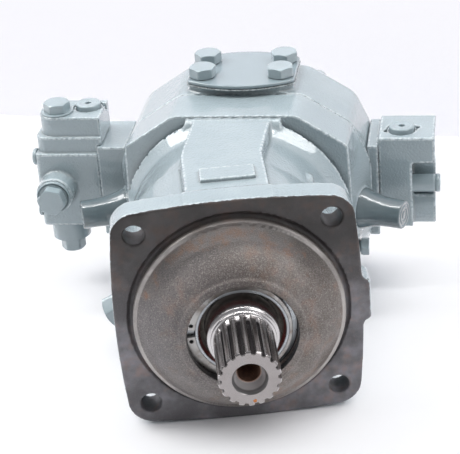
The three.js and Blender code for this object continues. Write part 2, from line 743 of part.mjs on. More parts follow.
/** The plain raised plaque on the top pad, its front edge a little deeper than its back. */
function plaque() {
  const end = PLAQUE_START_Y + PLAQUE_WIDTH;
  const shape = polygon([
    [-PLAQUE_LENGTH / 2, PLAQUE_START_Y],
    [PLAQUE_LENGTH / 2, PLAQUE_START_Y],
    [PLAQUE_LENGTH / 2, end],
    [-PLAQUE_LENGTH / 2, end],
  ]);
  return alongZ(shape, PAD_Z - 1, PAD_Z + PLAQUE_HEIGHT);
}

/** The cutting tools of the flat seats of the two end blocks, clear of each block all round. */
function blockSeats() {
  return [-1, 1].map((side) => {
    const inner = side * SEAT_X;
    const outer = side * (SIDE_X_REAR + PAST);
    const low = [Math.min(inner, outer), END_BLOCK_FRONT_Y - 1, END_BLOCK_BOTTOM_Z - 1];
    const high = [Math.max(inner, outer), END_FACE_Y + PAST, END_BLOCK_TOP_Z + 1];
    return boxBetween(low, high);
  });
}

/** Where the bleed plug stands on the flared right side of the housing block. */
function bleedSeat() {
  const share = (BLEED_Y - BLOCK_FACE_Y) / (JOINT_Y - BLOCK_FACE_Y);
  return SIDE_X_FRONT + share * (SIDE_X_REAR - SIDE_X_FRONT) + 0.5;
}

/** The cutting tools of the front housing. */
function frontCuts() {
  const half = FLANGE_HOLE_SPACING / 2;
  const corners = [[-half, -half], [half, -half], [half, half], [-half, half]];
  const holes = corners.map(([x, z]) =>
    bar(FLANGE_HOLE_DIAMETER / 2, -PAST, FLANGE_THICKNESS + PAST, [x, 0, z], Y),
  );
  const cavity = bar(CAVITY_RADIUS, CAVITY_START_Y, JOINT_Y + PAST, [0, 0, 0], Y, MEDIUM);
  const stops = [-1, 1].map((side) => {
    const { touch, outward } = stopLine(side);
    return bar(STOP_SCREW_RADIUS + GAP, 0, STOP_SEAT + PAST, touch, outward);
  });
  const bolts = housingBoltPlaces().map(([x, z]) =>
    bar(HOUSING_BOLT_RADIUS + 0.5, HOUSING_BOLT_REACH - 2, JOINT_Y + PAST, [x, 0, z], Y, SMALL),
  );
  const spots = [-1, 1].map((side) => {
    const { touch, outward } = stopLine(side);
    return bar(STOP_SPOT_RADIUS, STOP_SEAT, STOP_SEAT + 2 * PAST, touch, outward, MEDIUM);
  });
  const drainFloor = DRAIN_SEAT - DRAIN_THREAD_LENGTH - 1;
  const drain = bar(DRAIN_THREAD_RADIUS + GAP, drainFloor, DRAIN_SEAT + PAST, [0, DRAIN_Y, 0], drainDirection());
  const bleedFloor = bleedSeat() - BLEED_THREAD_LENGTH - 1;
  const bleed = bar(BLEED_THREAD_RADIUS + GAP, bleedFloor, bleedSeat() + PAST, [0, BLEED_Y, BLEED_Z], X);
  const room = segmentRoom(SEGMENT_ROOM_Y, JOINT_Y + PAST);
  const leaning = [cavity, room, ...stops, ...spots, ...bolts, ...blockSeats(), drain, bleed];
  return [sealBore(), bearingBore(), ...holes, ...leaning.map(bent)];
}

/** Flange, nose, bearing neck and the front half of the swivel housing, cast in one. */
function frontHousing() {
  const flange = alongY(flangeOutline(), 0, FLANGE_THICKNESS, 6);
  const middle = FLANGE_WIDTH / 2 + FLANGE_BULGE;
  const reach = middle + LUG_REACH;
  const lug = alongY(
    polygon([
      [middle - 12, -LUG_WIDTH / 2 - 6],
      [reach, -LUG_WIDTH / 2 + 3],
      [reach, LUG_WIDTH / 2 - 3],
      [middle - 12, LUG_WIDTH / 2 + 6],
    ]),
    0,
    FLANGE_THICKNESS,
  );
  return build([flange, lug, noseRing(), plaque(), ...castForms()], frontCuts());
}

/** The room in which the ends of the valve segment swing past the joint of the housings. */
function segmentRoom(from, to) {
  const low = [-SEGMENT_ROOM_X, from, -SEGMENT_ROOM_Z];
  return boxBetween(low, [SEGMENT_ROOM_X, to, SEGMENT_ROOM_Z]);
}

// ---------------------------------------------------------------- end housing

/** The solid forms of the end housing in the bent frame. */
function endForms() {
  const body = loft([
    { outline: housingSection(SIDE_X_REAR), y: END_START_Y },
    { outline: housingSection(SIDE_X_REAR), y: END_EDGE_Y },
    { outline: housingSection(SIDE_X_REAR, END_EDGE_INSET), y: END_FACE_Y },
  ]);
  const spigotStart = END_START_Y - SPIGOT_LENGTH;
  const spigot = bar(CAVITY_RADIUS - 0.5, spigotStart, END_START_Y + 1, [0, 0, 0], Y, MEDIUM);
  const seat = solid(alongZ(coverOutline(-1), HALF_HEIGHT - 2, SEAT_TOP_Z));
  const behindJoint = boxBetween(
    [-COVER_LENGTH, END_START_Y, 0],
    [COVER_LENGTH, END_FACE_Y + PAST, SEAT_TOP_Z + PAST],
  );
  return [body, spigot, geometryOf(seat.intersect(solid(behindJoint)))];
}

/** A rounded window in the track that feeds one port, above or below the control bore. */
function trackWindow(side) {
  const low = PORT_FLOOR_Z;
  const high = SEGMENT_HALF_HEIGHT - 8;
  const shape = polygon([
    [-WINDOW_HALF_LENGTH, side * low],
    [WINDOW_HALF_LENGTH, side * low],
    [WINDOW_HALF_LENGTH, side * high],
    [-WINDOW_HALF_LENGTH, side * high],
  ]);
  return alongY(shape, END_START_Y + 1, PORT_Y);
}

/** The cutting tools of the end housing. */
function endCuts() {
  const track = bar(TRACK_RADIUS, -SEGMENT_ROOM_Z, SEGMENT_ROOM_Z, [0, 0, 0], Z, 2 * FINE);
  const control = bar(CONTROL_BORE_RADIUS, -SEAT_X - PAST, SEAT_X + PAST, [0, CONTROL_Y, 0], X, MEDIUM);
  const slotHalf = CONTROL_TRAVEL / 2 + POSITION_PIN_RADIUS + 1;
  const slotHeight = POSITION_BALL_RADIUS + 0.6;
  const slot = boxBetween(
    [-slotHalf, END_START_Y - SPIGOT_LENGTH - PAST, -slotHeight],
    [slotHalf, CONTROL_Y, slotHeight],
  );
  const topPort = bar(TOP_PORT_DIAMETER / 2, PORT_FLOOR_Z, SEAT_TOP_Z + PAST, [0, PORT_Y, 0], Z, MEDIUM);
  const suction = bar(SUCTION_PORT_DIAMETER / 2, PORT_FLOOR_Z, HALF_HEIGHT + PAST, [0, PORT_Y, 0], DOWN, MEDIUM);
  const topThreads = portPattern(COVER_BOLT_SPACING_X, COVER_BOLT_SPACING_Y).map(([x, y]) =>
    bar(BOLT_RADIUS + 0.5, SEAT_TOP_Z - PORT_THREAD_DEPTH, SEAT_TOP_Z + PAST, [x, y, 0], Z, SMALL),
  );
  const suctionThreads = portPattern(SUCTION_BOLT_SPACING_X, SUCTION_BOLT_SPACING_Y).map(([x, y]) =>
    bar(BOLT_RADIUS - 0.2, HALF_HEIGHT - PORT_THREAD_DEPTH, HALF_HEIGHT + PAST, [x, y, 0], DOWN, SMALL),
  );
  const bolts = housingBoltPlaces().flatMap(([x, z]) => [
    bar(HOUSING_BOLT_RADIUS + 0.6, END_START_Y - PAST, END_FACE_Y + PAST, [x, 0, z], Y, SMALL),
    bar(SOCKET_HEAD_RADIUS + 1, END_FACE_Y - COUNTERBORE_DEPTH, END_FACE_Y + PAST, [x, 0, z], Y),
  ]);
  const stops = [-1, 1].map((side) => {
    const { touch, outward } = stopLine(side);
    return bar(STOP_SCREW_RADIUS + 1, stopReach() - 2, STOP_SEAT, touch, outward);
  });
  const windows = [-1, 1].map(trackWindow);
  return [
    track,
    control,
    slot,
    topPort,
    suction,
    ...windows,
    ...topThreads,
    ...suctionThreads,
    ...bolts,
    ...stops,
    ...blockSeats(),
  ];
}

/** The end housing with the round track, the ports and the control cylinder. */
function endHousing() {
  return build(endForms(), endCuts());
}

/** The thin gasket between the two housings. */
function housingGasket() {
  const inset = 0.8;
  const sheet = loft([
    { outline: housingSection(SIDE_X_REAR, inset), y: JOINT_Y + GAP },
    { outline: housingSection(SIDE_X_REAR, inset), y: END_START_Y - GAP },
  ]);
  const hole = bar(CAVITY_RADIUS + 1, JOINT_Y - PAST, END_START_Y + PAST, [0, 0, 0], Y, MEDIUM);
  const bolts = housingBoltPlaces().map(([x, z]) =>
    bar(HOUSING_BOLT_RADIUS + 1, JOINT_Y - PAST, END_START_Y + PAST, [x, 0, z], Y, SMALL),
  );
  return build([sheet], [hole, segmentRoom(JOINT_Y - PAST, END_START_Y + PAST), ...bolts]);
}

/** A flat plate with the outline of the cover and its four bolt holes. */
function coverPlate(from, to, grow) {
  const holes = portPattern(COVER_BOLT_SPACING_X, COVER_BOLT_SPACING_Y).map(([x, y]) =>
    bar(BOLT_RADIUS + 0.6, from - PAST, to + PAST, [x, y, 0], Z, SMALL),
  );
  return build([alongZ(coverOutline(grow), from, to)], holes);
}

/** The gasket under the cover, which shows all round its edge and closes the top port. */
function coverGasket() {
  return coverPlate(SEAT_TOP_Z + GAP, SEAT_TOP_Z + GAP + COVER_GASKET_THICKNESS, 0.6);
}

/** The plain blanking cover over the top port. */
function portCover() {
  return coverPlate(COVER_START_Z, COVER_START_Z + COVER_THICKNESS, 0);
}

/** A hexagon bolt of the cover, with a washer face under its head. */
function coverBolt([x, y]) {
  const under = COVER_START_Z + COVER_THICKNESS + GAP;
  const washerFace = 0.6;
  return build([
    bar(BOLT_RADIUS, SEAT_TOP_Z - PORT_THREAD_DEPTH + 2, under + 1, [x, y, 0], Z, SMALL),
    bar(BOLT_HEAD_FLATS / 2, under, under + washerFace + 0.1, [x, y, 0], Z),
    hexBar(BOLT_HEAD_FLATS, under + washerFace, under + BOLT_HEAD_HEIGHT, [x, y, 0], Z),
  ]);
}

/** A socket-head bolt of the end housing. */
function housingBolt([x, z]) {
  const seat = END_FACE_Y - COUNTERBORE_DEPTH + GAP;
  const top = seat + SOCKET_HEAD_HEIGHT;
  return build(
    [
      bar(HOUSING_BOLT_RADIUS, HOUSING_BOLT_REACH, seat + 1, [x, 0, z], Y, SMALL),
      bar(SOCKET_HEAD_RADIUS, seat, top, [x, 0, z], Y),
    ],
    [hexBar(SOCKET_FLATS, top - 6, top + PAST, [x, 0, z], Y)],
  );
}

// ---------------------------------------------------------------- seal, ring and bearings

/** The shaft seal: an outer case with a lip that leans to the shaft. */
function shaftSeal() {
  const outer = SEAL_BORE_DIAMETER / 2 - GAP;
  const lip = SEAL_JOURNAL_DIAMETER / 2 + GAP;
  const front = SEAL_FACE_Y;
  const rear = SEAL_FACE_Y + SEAL_WIDTH;
  return lathe([
    [outer, front],
    [outer, rear],
    [outer - 3, rear],
    [outer - 3, front + 3],
    [lip + 2.5, front + 3],
    [lip + 2, front + 5],
    [lip, front + 4],
    [lip + 1.5, front + 1],
    [lip + 3, front],
  ], MEDIUM);
}

/** The retaining ring in front of the seal, open at its left with a lug on each side of the gap. */
function sealCirclip() {
  const outer = SEAL_BORE_DIAMETER / 2 + CIRCLIP_GROOVE_DEPTH - GAP;
  const inner = CIRCLIP_INNER_DIAMETER / 2;
  const half = radians(CIRCLIP_OPENING / 2);
  const middle = radians(185);
  const shape = new THREE.Shape();
  shape.absarc(0, 0, outer, middle + half, middle - half + 2 * Math.PI);
  shape.absarc(0, 0, inner, middle - half + 2 * Math.PI, middle + half, true);
  const front = SEAL_FACE_Y - 2 * GAP - CIRCLIP_THICKNESS;
  const ring = alongY(shape, front, front + CIRCLIP_THICKNESS, COARSE);
  const lugs = [-1, 1].map((side) => {
    const angle = middle + side * (half + radians(9));
    const radius = inner + 1.2;
    const place = [radius * Math.cos(angle), 0, radius * Math.sin(angle)];
    return bar(4.2, front, front + CIRCLIP_THICKNESS, place, Y);
  });
  return build([ring, ...lugs]);
}

/** The outer ring, the inner ring and the caged rollers of a taper roller bearing. */
function taperBearing({ bore, outer, width, start }) {
  const [inside, outside, end] = [bore / 2 + GAP, outer / 2, start + width];
  const middle = (inside + outside) / 2;
  const half = (outside - inside) * 0.2;
  const lean = (outside - inside) * 0.12;
  const cup = lathe(
    [
      [outside, start],
      [outside, end],
      [middle + half + lean + 2 * GAP, end],
      [middle + half - lean + 2 * GAP, start],
    ],
    MEDIUM,
  );
  const cone = lathe(
    [
      [inside, start],
      [middle - half - lean - GAP, start],
      [middle - half + lean - GAP, end],
      [inside, end],
    ],
    MEDIUM,
  );
  const roller = () => {
    const length = width * 0.78;
    const taper = new THREE.CylinderGeometry(half, half * 0.8, length, 8);
    const tilt = Math.atan2(2 * lean, width);
    return taper.rotateZ(-tilt).translate(middle, start + width / 2, 0);
  };
  const rollers = Array.from({ length: ROLLER_COUNT }, (_, i) =>
    roller().rotateY((2 * Math.PI * i) / ROLLER_COUNT),
  );
  const cage = lathe(
    [
      [middle - lean - 0.8, start + width * 0.2],
      [middle - lean + 0.8, start + width * 0.2],
      [middle + lean + 0.8, start + width * 0.8],
      [middle + lean - 0.8, start + width * 0.8],
    ],
    MEDIUM,
  );
  return { cup, cone, rollers: build([cage, ...rollers]) };
}

const frontBearing = () =>
  taperBearing({
    bore: FRONT_BEARING_BORE,
    outer: FRONT_BEARING_OUTER,
    width: FRONT_BEARING_WIDTH,
    start: FRONT_BEARING_Y,
  });
const rearBearing = () =>
  taperBearing({
    bore: REAR_BEARING_BORE,
    outer: REAR_BEARING_OUTER,
    width: REAR_BEARING_WIDTH,
    start: REAR_BEARING_Y,
  });

// ---------------------------------------------------------------- drive shaft

/** The toothed outline of the spline. */
function splineOutline() {
  const top = SPLINE_DIAMETER / 2;
  const root = top - SPLINE_TOOTH_HEIGHT;
  const pitch = (2 * Math.PI) / SPLINE_TEETH;
  const corners = [[root, -0.36], [top, -0.2], [top, 0.2], [root, 0.36]];
  const points = Array.from({ length: SPLINE_TEETH }, (_, tooth) =>
    corners.map(([radius, share]) => {
      const angle = (tooth + share) * pitch;
      return [radius * Math.cos(angle), radius * Math.sin(angle)];
    }),
  );
  return polygon(points.flat());
}

/** The places of the piston balls at rest, as [x, z] pairs about the shaft axis. */
function ballPlaces() {
  return Array.from({ length: PISTON_COUNT }, (_, i) => {
    const angle = Math.PI / 2 + (2 * Math.PI * i) / PISTON_COUNT;
    return [BALL_CIRCLE_RADIUS * Math.cos(angle), BALL_CIRCLE_RADIUS * Math.sin(angle)];
  });
}

/** The splined drive shaft with its journals and the flange that holds the piston balls. */
function driveShaft() {
  const collarY = SHAFT_END_Y + SPLINE_LENGTH + 2;
  const nutY = FRONT_BEARING_Y - GAP - BEARING_NUT_WIDTH - GAP;
  const journal = SEAL_JOURNAL_DIAMETER / 2;
  const front = FRONT_BEARING_BORE / 2;
  const rear = REAR_BEARING_BORE / 2;
  const shoulder = REAR_BEARING_Y + REAR_BEARING_WIDTH + GAP;
  const flange = DRIVE_FLANGE_DIAMETER / 2;
  const body = lathe([
    [0, SHAFT_END_Y + SPLINE_LENGTH - 2],
    [SPLINE_DIAMETER / 2 - SPLINE_TOOTH_HEIGHT, SHAFT_END_Y + SPLINE_LENGTH - 2],
    [journal - 2, collarY],
    [journal, collarY + 2],
    [journal, nutY],
    [front, nutY],
    [front, REAR_BEARING_Y - 1],
    [rear, REAR_BEARING_Y - 1],
    [rear, shoulder],
    [rear + 6, shoulder],
    [flange, shoulder + 8],
    [flange, PIVOT_Y],
    [0, PIVOT_Y],
  ], MEDIUM);
  const chamferRings = lathe([
    [0, SHAFT_END_Y],
    [SPLINE_DIAMETER / 2 - 1.2, SHAFT_END_Y],
    [SPLINE_DIAMETER / 2 + 0.5, SHAFT_END_Y + 1.7],
    [SPLINE_DIAMETER / 2 + 0.5, SHAFT_END_Y + SPLINE_LENGTH],
    [0, SHAFT_END_Y + SPLINE_LENGTH],
  ]);
  const teeth = alongY(splineOutline(), SHAFT_END_Y, SHAFT_END_Y + SPLINE_LENGTH);
  const spline = geometryOf(solid(teeth).intersect(solid(chamferRings)));
  const thread = CENTRE_THREAD_DIAMETER / 2;
  const centre = lathe(
    [
      [0, SHAFT_END_Y - PAST],
      [CENTRE_RECESS_DIAMETER / 2 + 0.8, SHAFT_END_Y - PAST],
      [CENTRE_RECESS_DIAMETER / 2, SHAFT_END_Y + 1],
      [CENTRE_RECESS_DIAMETER / 2 - 1, SHAFT_END_Y + CENTRE_RECESS_DEPTH],
      [thread, SHAFT_END_Y + CENTRE_RECESS_DEPTH + 2],
      [thread, SHAFT_END_Y + CENTRE_THREAD_DEPTH],
      [0, SHAFT_END_Y + CENTRE_THREAD_DEPTH + 4],
    ],
    MEDIUM,
  );
  const sockets = ballPlaces().map(([x, z]) => ball(PISTON_BALL_RADIUS + SOCKET_CLEARANCE, [x, PIVOT_Y, z], SMALL));
  const centreSocket = ball(CENTRE_BALL_RADIUS + SOCKET_CLEARANCE, [0, PIVOT_Y, 0], SMALL);
  return build([body, spline], [centre, ...sockets, centreSocket]);
}

/** The nut that clamps the bearing cones. */
function bearingNut() {
  const end = FRONT_BEARING_Y - GAP;
  const bore = FRONT_BEARING_BORE / 2 + GAP;
  return lathe(
    [
      [bore, end - BEARING_NUT_WIDTH],
      [bore + 6, end - BEARING_NUT_WIDTH],
      [bore + 6, end],
      [bore, end],
    ],
    MEDIUM,
  );
}

/** The plate that holds the piston balls in the drive flange. */
function ballRetainer() {
  const start = PIVOT_Y + GAP;
  const end = start + RETAINER_THICKNESS;
  const plate = bar(DRIVE_FLANGE_DIAMETER / 2, start, end, [0, 0, 0], Y, MEDIUM);
  const hole = (radius, [x, z]) => {
    const wide = radius + 0.4;
    const narrow = wide - 0.8;
    const cone = [[0, start - 1], [wide, start - 1], [wide, start], [narrow, end], [narrow, end + 1], [0, end + 1]];
    return lathe(cone, COARSE).translate(x, 0, z);
  };
  const holes = ballPlaces().map((place) => hole(PISTON_BALL_RADIUS, place));
  return build([plate], [...holes, hole(CENTRE_BALL_RADIUS + CENTRE_HOLE_EASE, [0, 0])]);
}

// ---------------------------------------------------------------- cylinder block, pistons and centre pin

/** The profile of the spherical port face from its outer edge to the axis, in steps. */
function portFace(radius, offset) {
  const steps = 3;
  return Array.from({ length: steps + 1 }, (_, i) => {
    const r = radius * (1 - i / steps);
    const sag = PORT_SPHERE_RADIUS - Math.sqrt(PORT_SPHERE_RADIUS ** 2 - r ** 2);
    return [r, offset + sag];
  });
}

/** A curved slot about the Y axis, from one place to another, centred on an angle. */
function kidney(centreAngle, halfAngle, from, to) {
  const [inner, outer] = [KIDNEY_RADIUS - KIDNEY_WIDTH / 2, KIDNEY_RADIUS + KIDNEY_WIDTH / 2];
  const [start, end] = [centreAngle - halfAngle, centreAngle + halfAngle].map(radians);
  const shape = new THREE.Shape();
  shape.absarc(0, 0, outer, start, end);
  shape.absarc(0, 0, inner, end, start, true);
  return alongY(shape, from, to, 4);
}

/** The cylinder block, concave behind where it runs on the valve segment. */
function cylinderBlock() {
  const body = lathe([
    [0, BLOCK_FRONT],
    [BLOCK_RADIUS - 2, BLOCK_FRONT],
    [BLOCK_RADIUS, BLOCK_FRONT + 2],
    [BLOCK_RADIUS, BLOCK_TAPER_Y],
    ...portFace(BLOCK_REAR_RADIUS, BLOCK_REAR),
  ], MEDIUM);
  const bores = ballPlaces().map(([x, z]) =>
    bar(PISTON_BORE_RADIUS, BLOCK_FRONT - PAST, BLOCK_REAR - BLOCK_PORT_DEPTH, [x, 0, z], Y),
  );
  const share = 360 / PISTON_COUNT;
  const ports = ballPlaces().map((_, i) =>
    kidney(90 + i * share, share * 0.26, BLOCK_REAR - BLOCK_PORT_DEPTH - 1, BLOCK_REAR + 15),
  );
  const centre = lathe(
    [
      [0, BLOCK_FRONT - PAST],
      [CENTRE_PIN_RADIUS + 3.6, BLOCK_FRONT - PAST],
      [CENTRE_PIN_RADIUS + 3.6, CENTRE_SPRING_END + GAP],
      [CENTRE_PIN_RADIUS + GAP, CENTRE_SPRING_END + GAP],
      [CENTRE_PIN_RADIUS + GAP, BLOCK_REAR + PAST],
      [0, BLOCK_REAR + PAST],
    ],
    COARSE,
  );
  return fromPivot(geometryOf(build([body], [...bores, ...ports, centre])));
}

/** The centre pin: its ball sits in the drive flange and its stem guides the cylinder block. */
function centrePin() {
  const collar = CENTRE_SPRING_START - GAP;
  return fromPivot(
    geometryOf(
      build([
        ball(CENTRE_BALL_RADIUS, [0, 0, 0]),
        bar(CENTRE_PIN_RADIUS, 0, BLOCK_REAR - 2, [0, 0, 0], Y),
        bar(CENTRE_PIN_RADIUS + 3.2, collar - 4, collar, [0, 0, 0], Y),
      ]),
    ),
  );
}

/** The spring that presses the cylinder block to the valve segment. */
function centreSpring() {
  return fromPivot(
    coil({
      meanRadius: CENTRE_PIN_RADIUS + GAP + CENTRE_SPRING_WIRE / 2 + 0.2,
      wire: CENTRE_SPRING_WIRE,
      from: CENTRE_SPRING_START,
      to: CENTRE_SPRING_END,
      turns: CENTRE_SPRING_TURNS,
    }),
  );
}

/** One tapered piston with its ball end, at its place on the ball circle. */
function piston([x, z]) {
  const headStart = PISTON_LENGTH - PISTON_HEAD_LENGTH;
  const body = lathe(
    [
      [0, 0],
      [PISTON_NECK_RADIUS, 1],
      [PISTON_NECK_RADIUS, PISTON_BALL_RADIUS + 3],
      [PISTON_HEAD_RADIUS - 1.4, headStart - 4],
      [PISTON_HEAD_RADIUS, headStart],
      [PISTON_HEAD_RADIUS, PISTON_LENGTH - 1],
      [PISTON_HEAD_RADIUS - 1, PISTON_LENGTH],
      [0, PISTON_LENGTH],
    ],
    COARSE,
  );
  return build([ball(PISTON_BALL_RADIUS, [0, 0, 0], SMALL), body]).translate([x, PIVOT_Y, z]);
}

// ---------------------------------------------------------------- valve segment and control piston

/** The valve segment: a spherical front for the cylinder block and a round back for the track. */
function valveSegment() {
  const front = BLOCK_REAR + GAP;
  const faceRadius = Math.hypot(SEGMENT_HALF_WIDTH, SEGMENT_HALF_HEIGHT) + 3;
  const stock = lathe([
    ...portFace(faceRadius, front),
    [0, TRACK_RADIUS + PAST],
    [faceRadius, TRACK_RADIUS + PAST],
  ]);
  const outline = boxBetween(
    [-SEGMENT_HALF_WIDTH, 0, -SEGMENT_HALF_HEIGHT],
    [SEGMENT_HALF_WIDTH, TRACK_RADIUS + PAST, SEGMENT_HALF_HEIGHT],
  );
  const back = bar(SEGMENT_RADIUS, -SEGMENT_HALF_HEIGHT - 1, SEGMENT_HALF_HEIGHT + 1, [0, 0, 0], Z, 2 * FINE);
  const blank = solid(stock).intersect(solid(outline)).intersect(solid(back));
  const kidneys = [90, 270].map((angle) =>
    kidney(angle, KIDNEY_HALF_ANGLE, front - PAST, TRACK_RADIUS + PAST),
  );
  const pinHole = bar(POSITION_BALL_RADIUS + 0.5, POSITION_BALL_Y - 7, TRACK_RADIUS + PAST, [0, 0, 0], Y);
  const cut = [...kidneys, pinHole].map(solid).reduce((rest, tool) => rest.subtract(tool), blank);
  return fromPivot(geometryOf(cut));
}

/** Where the control piston stands at zero swivel angle. */
const controlRestX = () => -CONTROL_TRAVEL / 2;

/** The control piston across the end housing, bored for its pin. */
function controlPiston() {
  const x = controlRestX();
  const half = CONTROL_PISTON_LENGTH / 2;
  const body = bar(CONTROL_BORE_RADIUS - GAP, x - half, x + half, [0, CONTROL_Y, 0], X, MEDIUM);
  const pinHole = bar(POSITION_PIN_RADIUS + GAP, -CONTROL_BORE_RADIUS - PAST, 8, [x, CONTROL_Y, 0], Y);
  return build([body], [pinHole]);
}

/** The pin that carries the control piston's motion to the valve segment through its ball end. */
function positioningPin() {
  const x = controlRestX();
  return build([
    ball(POSITION_BALL_RADIUS, [x, POSITION_BALL_Y, 0]),
    bar(POSITION_PIN_RADIUS - 0.2, POSITION_BALL_Y, CONTROL_Y + 8 - GAP, [x, 0, 0], Y),
  ]);
}

/** A block that closes one end of the control cylinder with a long spigot. */
function endBlock(side, outerX) {
  const inner = side * (SEAT_X + GAP);
  const low = [Math.min(inner, outerX), END_BLOCK_FRONT_Y, END_BLOCK_BOTTOM_Z];
  const high = [Math.max(inner, outerX), END_BLOCK_REAR_Y, END_BLOCK_TOP_Z];
  const reach = CONTROL_TRAVEL / 2 + CONTROL_PISTON_LENGTH / 2 + CONTROL_END_CLEARANCE;
  const direction = side > 0 ? X : LEFT;
  const spigot = bar(CONTROL_BORE_RADIUS - GAP, reach, SEAT_X + 2, [0, CONTROL_Y, 0], direction, MEDIUM);
  return build([boxBetween(low, high), spigot]);
}

// ---------------------------------------------------------------- plugs

/** A hexagon-head plug: thread, collar and head along a direction from its seat. */
function hexPlug({ seat, direction, thread, threadLength, collar, collarHeight, flats, headHeight }) {
  const top = GAP + collarHeight + headHeight;
  return build([
    bar(thread, -threadLength, GAP + 1, seat, direction),
    bar(collar, GAP, GAP + collarHeight, seat, direction, MEDIUM),
    hexBar(flats, GAP + collarHeight - 0.5, top, seat, direction),
  ]);
}

/** A round plug that a ring holds, with a small centre hole, standing proud of its recess. */
function capPlug([x, y], surface) {
  const top = surface + CAP_PLUG_STAND;
  const floor = surface - CAP_PLUG_DEPTH + GAP;
  const body = lathe(
    [
      [0, floor],
      [CAP_PLUG_RADIUS, floor],
      [CAP_PLUG_RADIUS, top - 1],
      [CAP_PLUG_RADIUS - 1, top],
      [0, top],
    ],
    MEDIUM,
  );
  const hole = bar(2.2, top - 4, top + PAST, [0, 0, 0], Y, COARSE);
  return geometryOf(build([body], [hole])).rotateX(Math.PI / 2).translate(x, y, 0);
}

/** The ring round a cap plug, in the recess of its block. */
function capRing([x, y], surface) {
  const inner = CAP_PLUG_RADIUS + GAP;
  const outer = CAP_RECESS_RADIUS - GAP;
  const half = radians(14);
  const shape = new THREE.Shape();
  shape.absarc(x, y, outer, -Math.PI / 2 + half, 1.5 * Math.PI - half);
  shape.absarc(x, y, inner, 1.5 * Math.PI - half, -Math.PI / 2 + half, true);
  const floor = surface - CAP_RECESS_DEPTH + GAP;
  return alongZ(shape, floor, floor + CAP_RING_THICKNESS, COARSE);
}

/** The recess, the lug pockets and the bore that a cap plug needs. */
function capCuts([x, y], surface) {
  const recess = bar(CAP_RECESS_RADIUS, surface - CAP_RECESS_DEPTH, surface + PAST, [x, y, 0], Z, MEDIUM);
  const bore = bar(CAP_PLUG_RADIUS + GAP, surface - CAP_PLUG_DEPTH, surface + PAST, [x, y, 0], Z, MEDIUM);
  const pockets = [0, 180].map((turn) => {
    const angle = radians(CAP_POCKET_ANGLE + turn);
    const place = [x + CAP_PLUG_RADIUS * Math.cos(angle), y + CAP_PLUG_RADIUS * Math.sin(angle), 0];
    return bar(CAP_POCKET_RADIUS, surface - CAP_POCKET_DEPTH, surface + PAST, place, Z);
  });
  return [recess, bore, ...pockets];
}

// ---------------------------------------------------------------- left valve block

/** The valve block on the left: three steps, a round front boss and its bores. */
function leftValveBlock() {
  const corner = LEFT_CORNER_RADIUS;
  const main = new THREE.Shape();
  main.moveTo(LEFT_INNER_X, LEFT_BOTTOM_Z);
  main.lineTo(LEFT_INNER_X, LEFT_MAIN_TOP_Z);
  main.lineTo(LEFT_OUTER_X + 2, LEFT_MAIN_TOP_Z);
  main.lineTo(LEFT_OUTER_X, LEFT_MAIN_TOP_Z - 2);
  main.lineTo(LEFT_OUTER_X, LEFT_BOTTOM_Z + corner);
  main.absarc(LEFT_OUTER_X + corner, LEFT_BOTTOM_Z + corner, corner, Math.PI, 1.5 * Math.PI);
  const step = boxBetween(
    [LEFT_OUTER_X + LEFT_STEP_INSET, LEFT_FRONT_Y + LEFT_STEP_INSET, LEFT_MAIN_TOP_Z - 1],
    [LEFT_INNER_X, LEFT_REAR_Y, LEFT_STEP_TOP_Z],
  );
  const top = boxBetween(
    [LEFT_OUTER_X + 2 * LEFT_STEP_INSET, LEFT_FRONT_Y + 1.5 * LEFT_STEP_INSET, LEFT_STEP_TOP_Z - 1],
    [LEFT_INNER_X, LEFT_REAR_Y, LEFT_TOP_Z],
  );
  const bossAxis = [FRONT_BOSS_X, LEFT_FRONT_Y, FRONT_BOSS_Z];
  const boss = bar(FRONT_BOSS_RADIUS, -2, FRONT_BOSS_LENGTH, bossAxis, FORWARD, MEDIUM);
  const spoolBore = bar(
    SPOOL_BORE_RADIUS,
    LEFT_BOTTOM_Z - PAST,
    LEFT_TOP_Z + PAST,
    [SPOOL_X, SPOOL_Y, 0],
    Z,
  );
  const frontBore = bar(
    FRONT_PLUG_THREAD_RADIUS + GAP,
    FRONT_BOSS_LENGTH - FRONT_PLUG_THREAD_LENGTH - 1,
    FRONT_BOSS_LENGTH + PAST,
    bossAxis,
    FORWARD,
  );
  const sides = [
    [SIDE_PLUG_UPPER_RADIUS, SIDE_PLUG_UPPER_Y, SIDE_PLUG_UPPER_Z],
    [SIDE_PLUG_LOWER_RADIUS, SIDE_PLUG_LOWER_Y, SIDE_PLUG_LOWER_Z],
  ].map(([radius, y, z]) => bar(radius - 1.5 + GAP, -6, PAST, [LEFT_OUTER_X, y, z], LEFT));
  const cuts = [spoolBore, frontBore, ...sides, ...capCuts([LEFT_CAP_X, LEFT_CAP_Y], LEFT_TOP_Z)];
  return build([alongY(main, LEFT_FRONT_Y, LEFT_REAR_Y), step, top, boss], cuts);
}

/** A round plug on the outer side of the left valve block. */
function sidePlug(radius, y, z) {
  const seat = [LEFT_OUTER_X, y, z];
  return build([
    bar(radius - 1.5, -5, GAP + 1, seat, LEFT),
    bar(radius, GAP, SIDE_PLUG_STAND, seat, LEFT),
  ]);
}

/** The ring under the head of the front plug. */
function frontRing() {
  const seat = LEFT_FRONT_Y - FRONT_BOSS_LENGTH - GAP;
  const inner = FRONT_PLUG_THREAD_RADIUS + GAP;
  const ring = lathe(
    [
      [inner, seat],
      [FRONT_RING_RADIUS, seat],
      [FRONT_RING_RADIUS, seat - FRONT_RING_WIDTH],
      [inner, seat - FRONT_RING_WIDTH],
    ],
    MEDIUM,
  );
  return ring.translate(FRONT_BOSS_X, 0, FRONT_BOSS_Z);
}

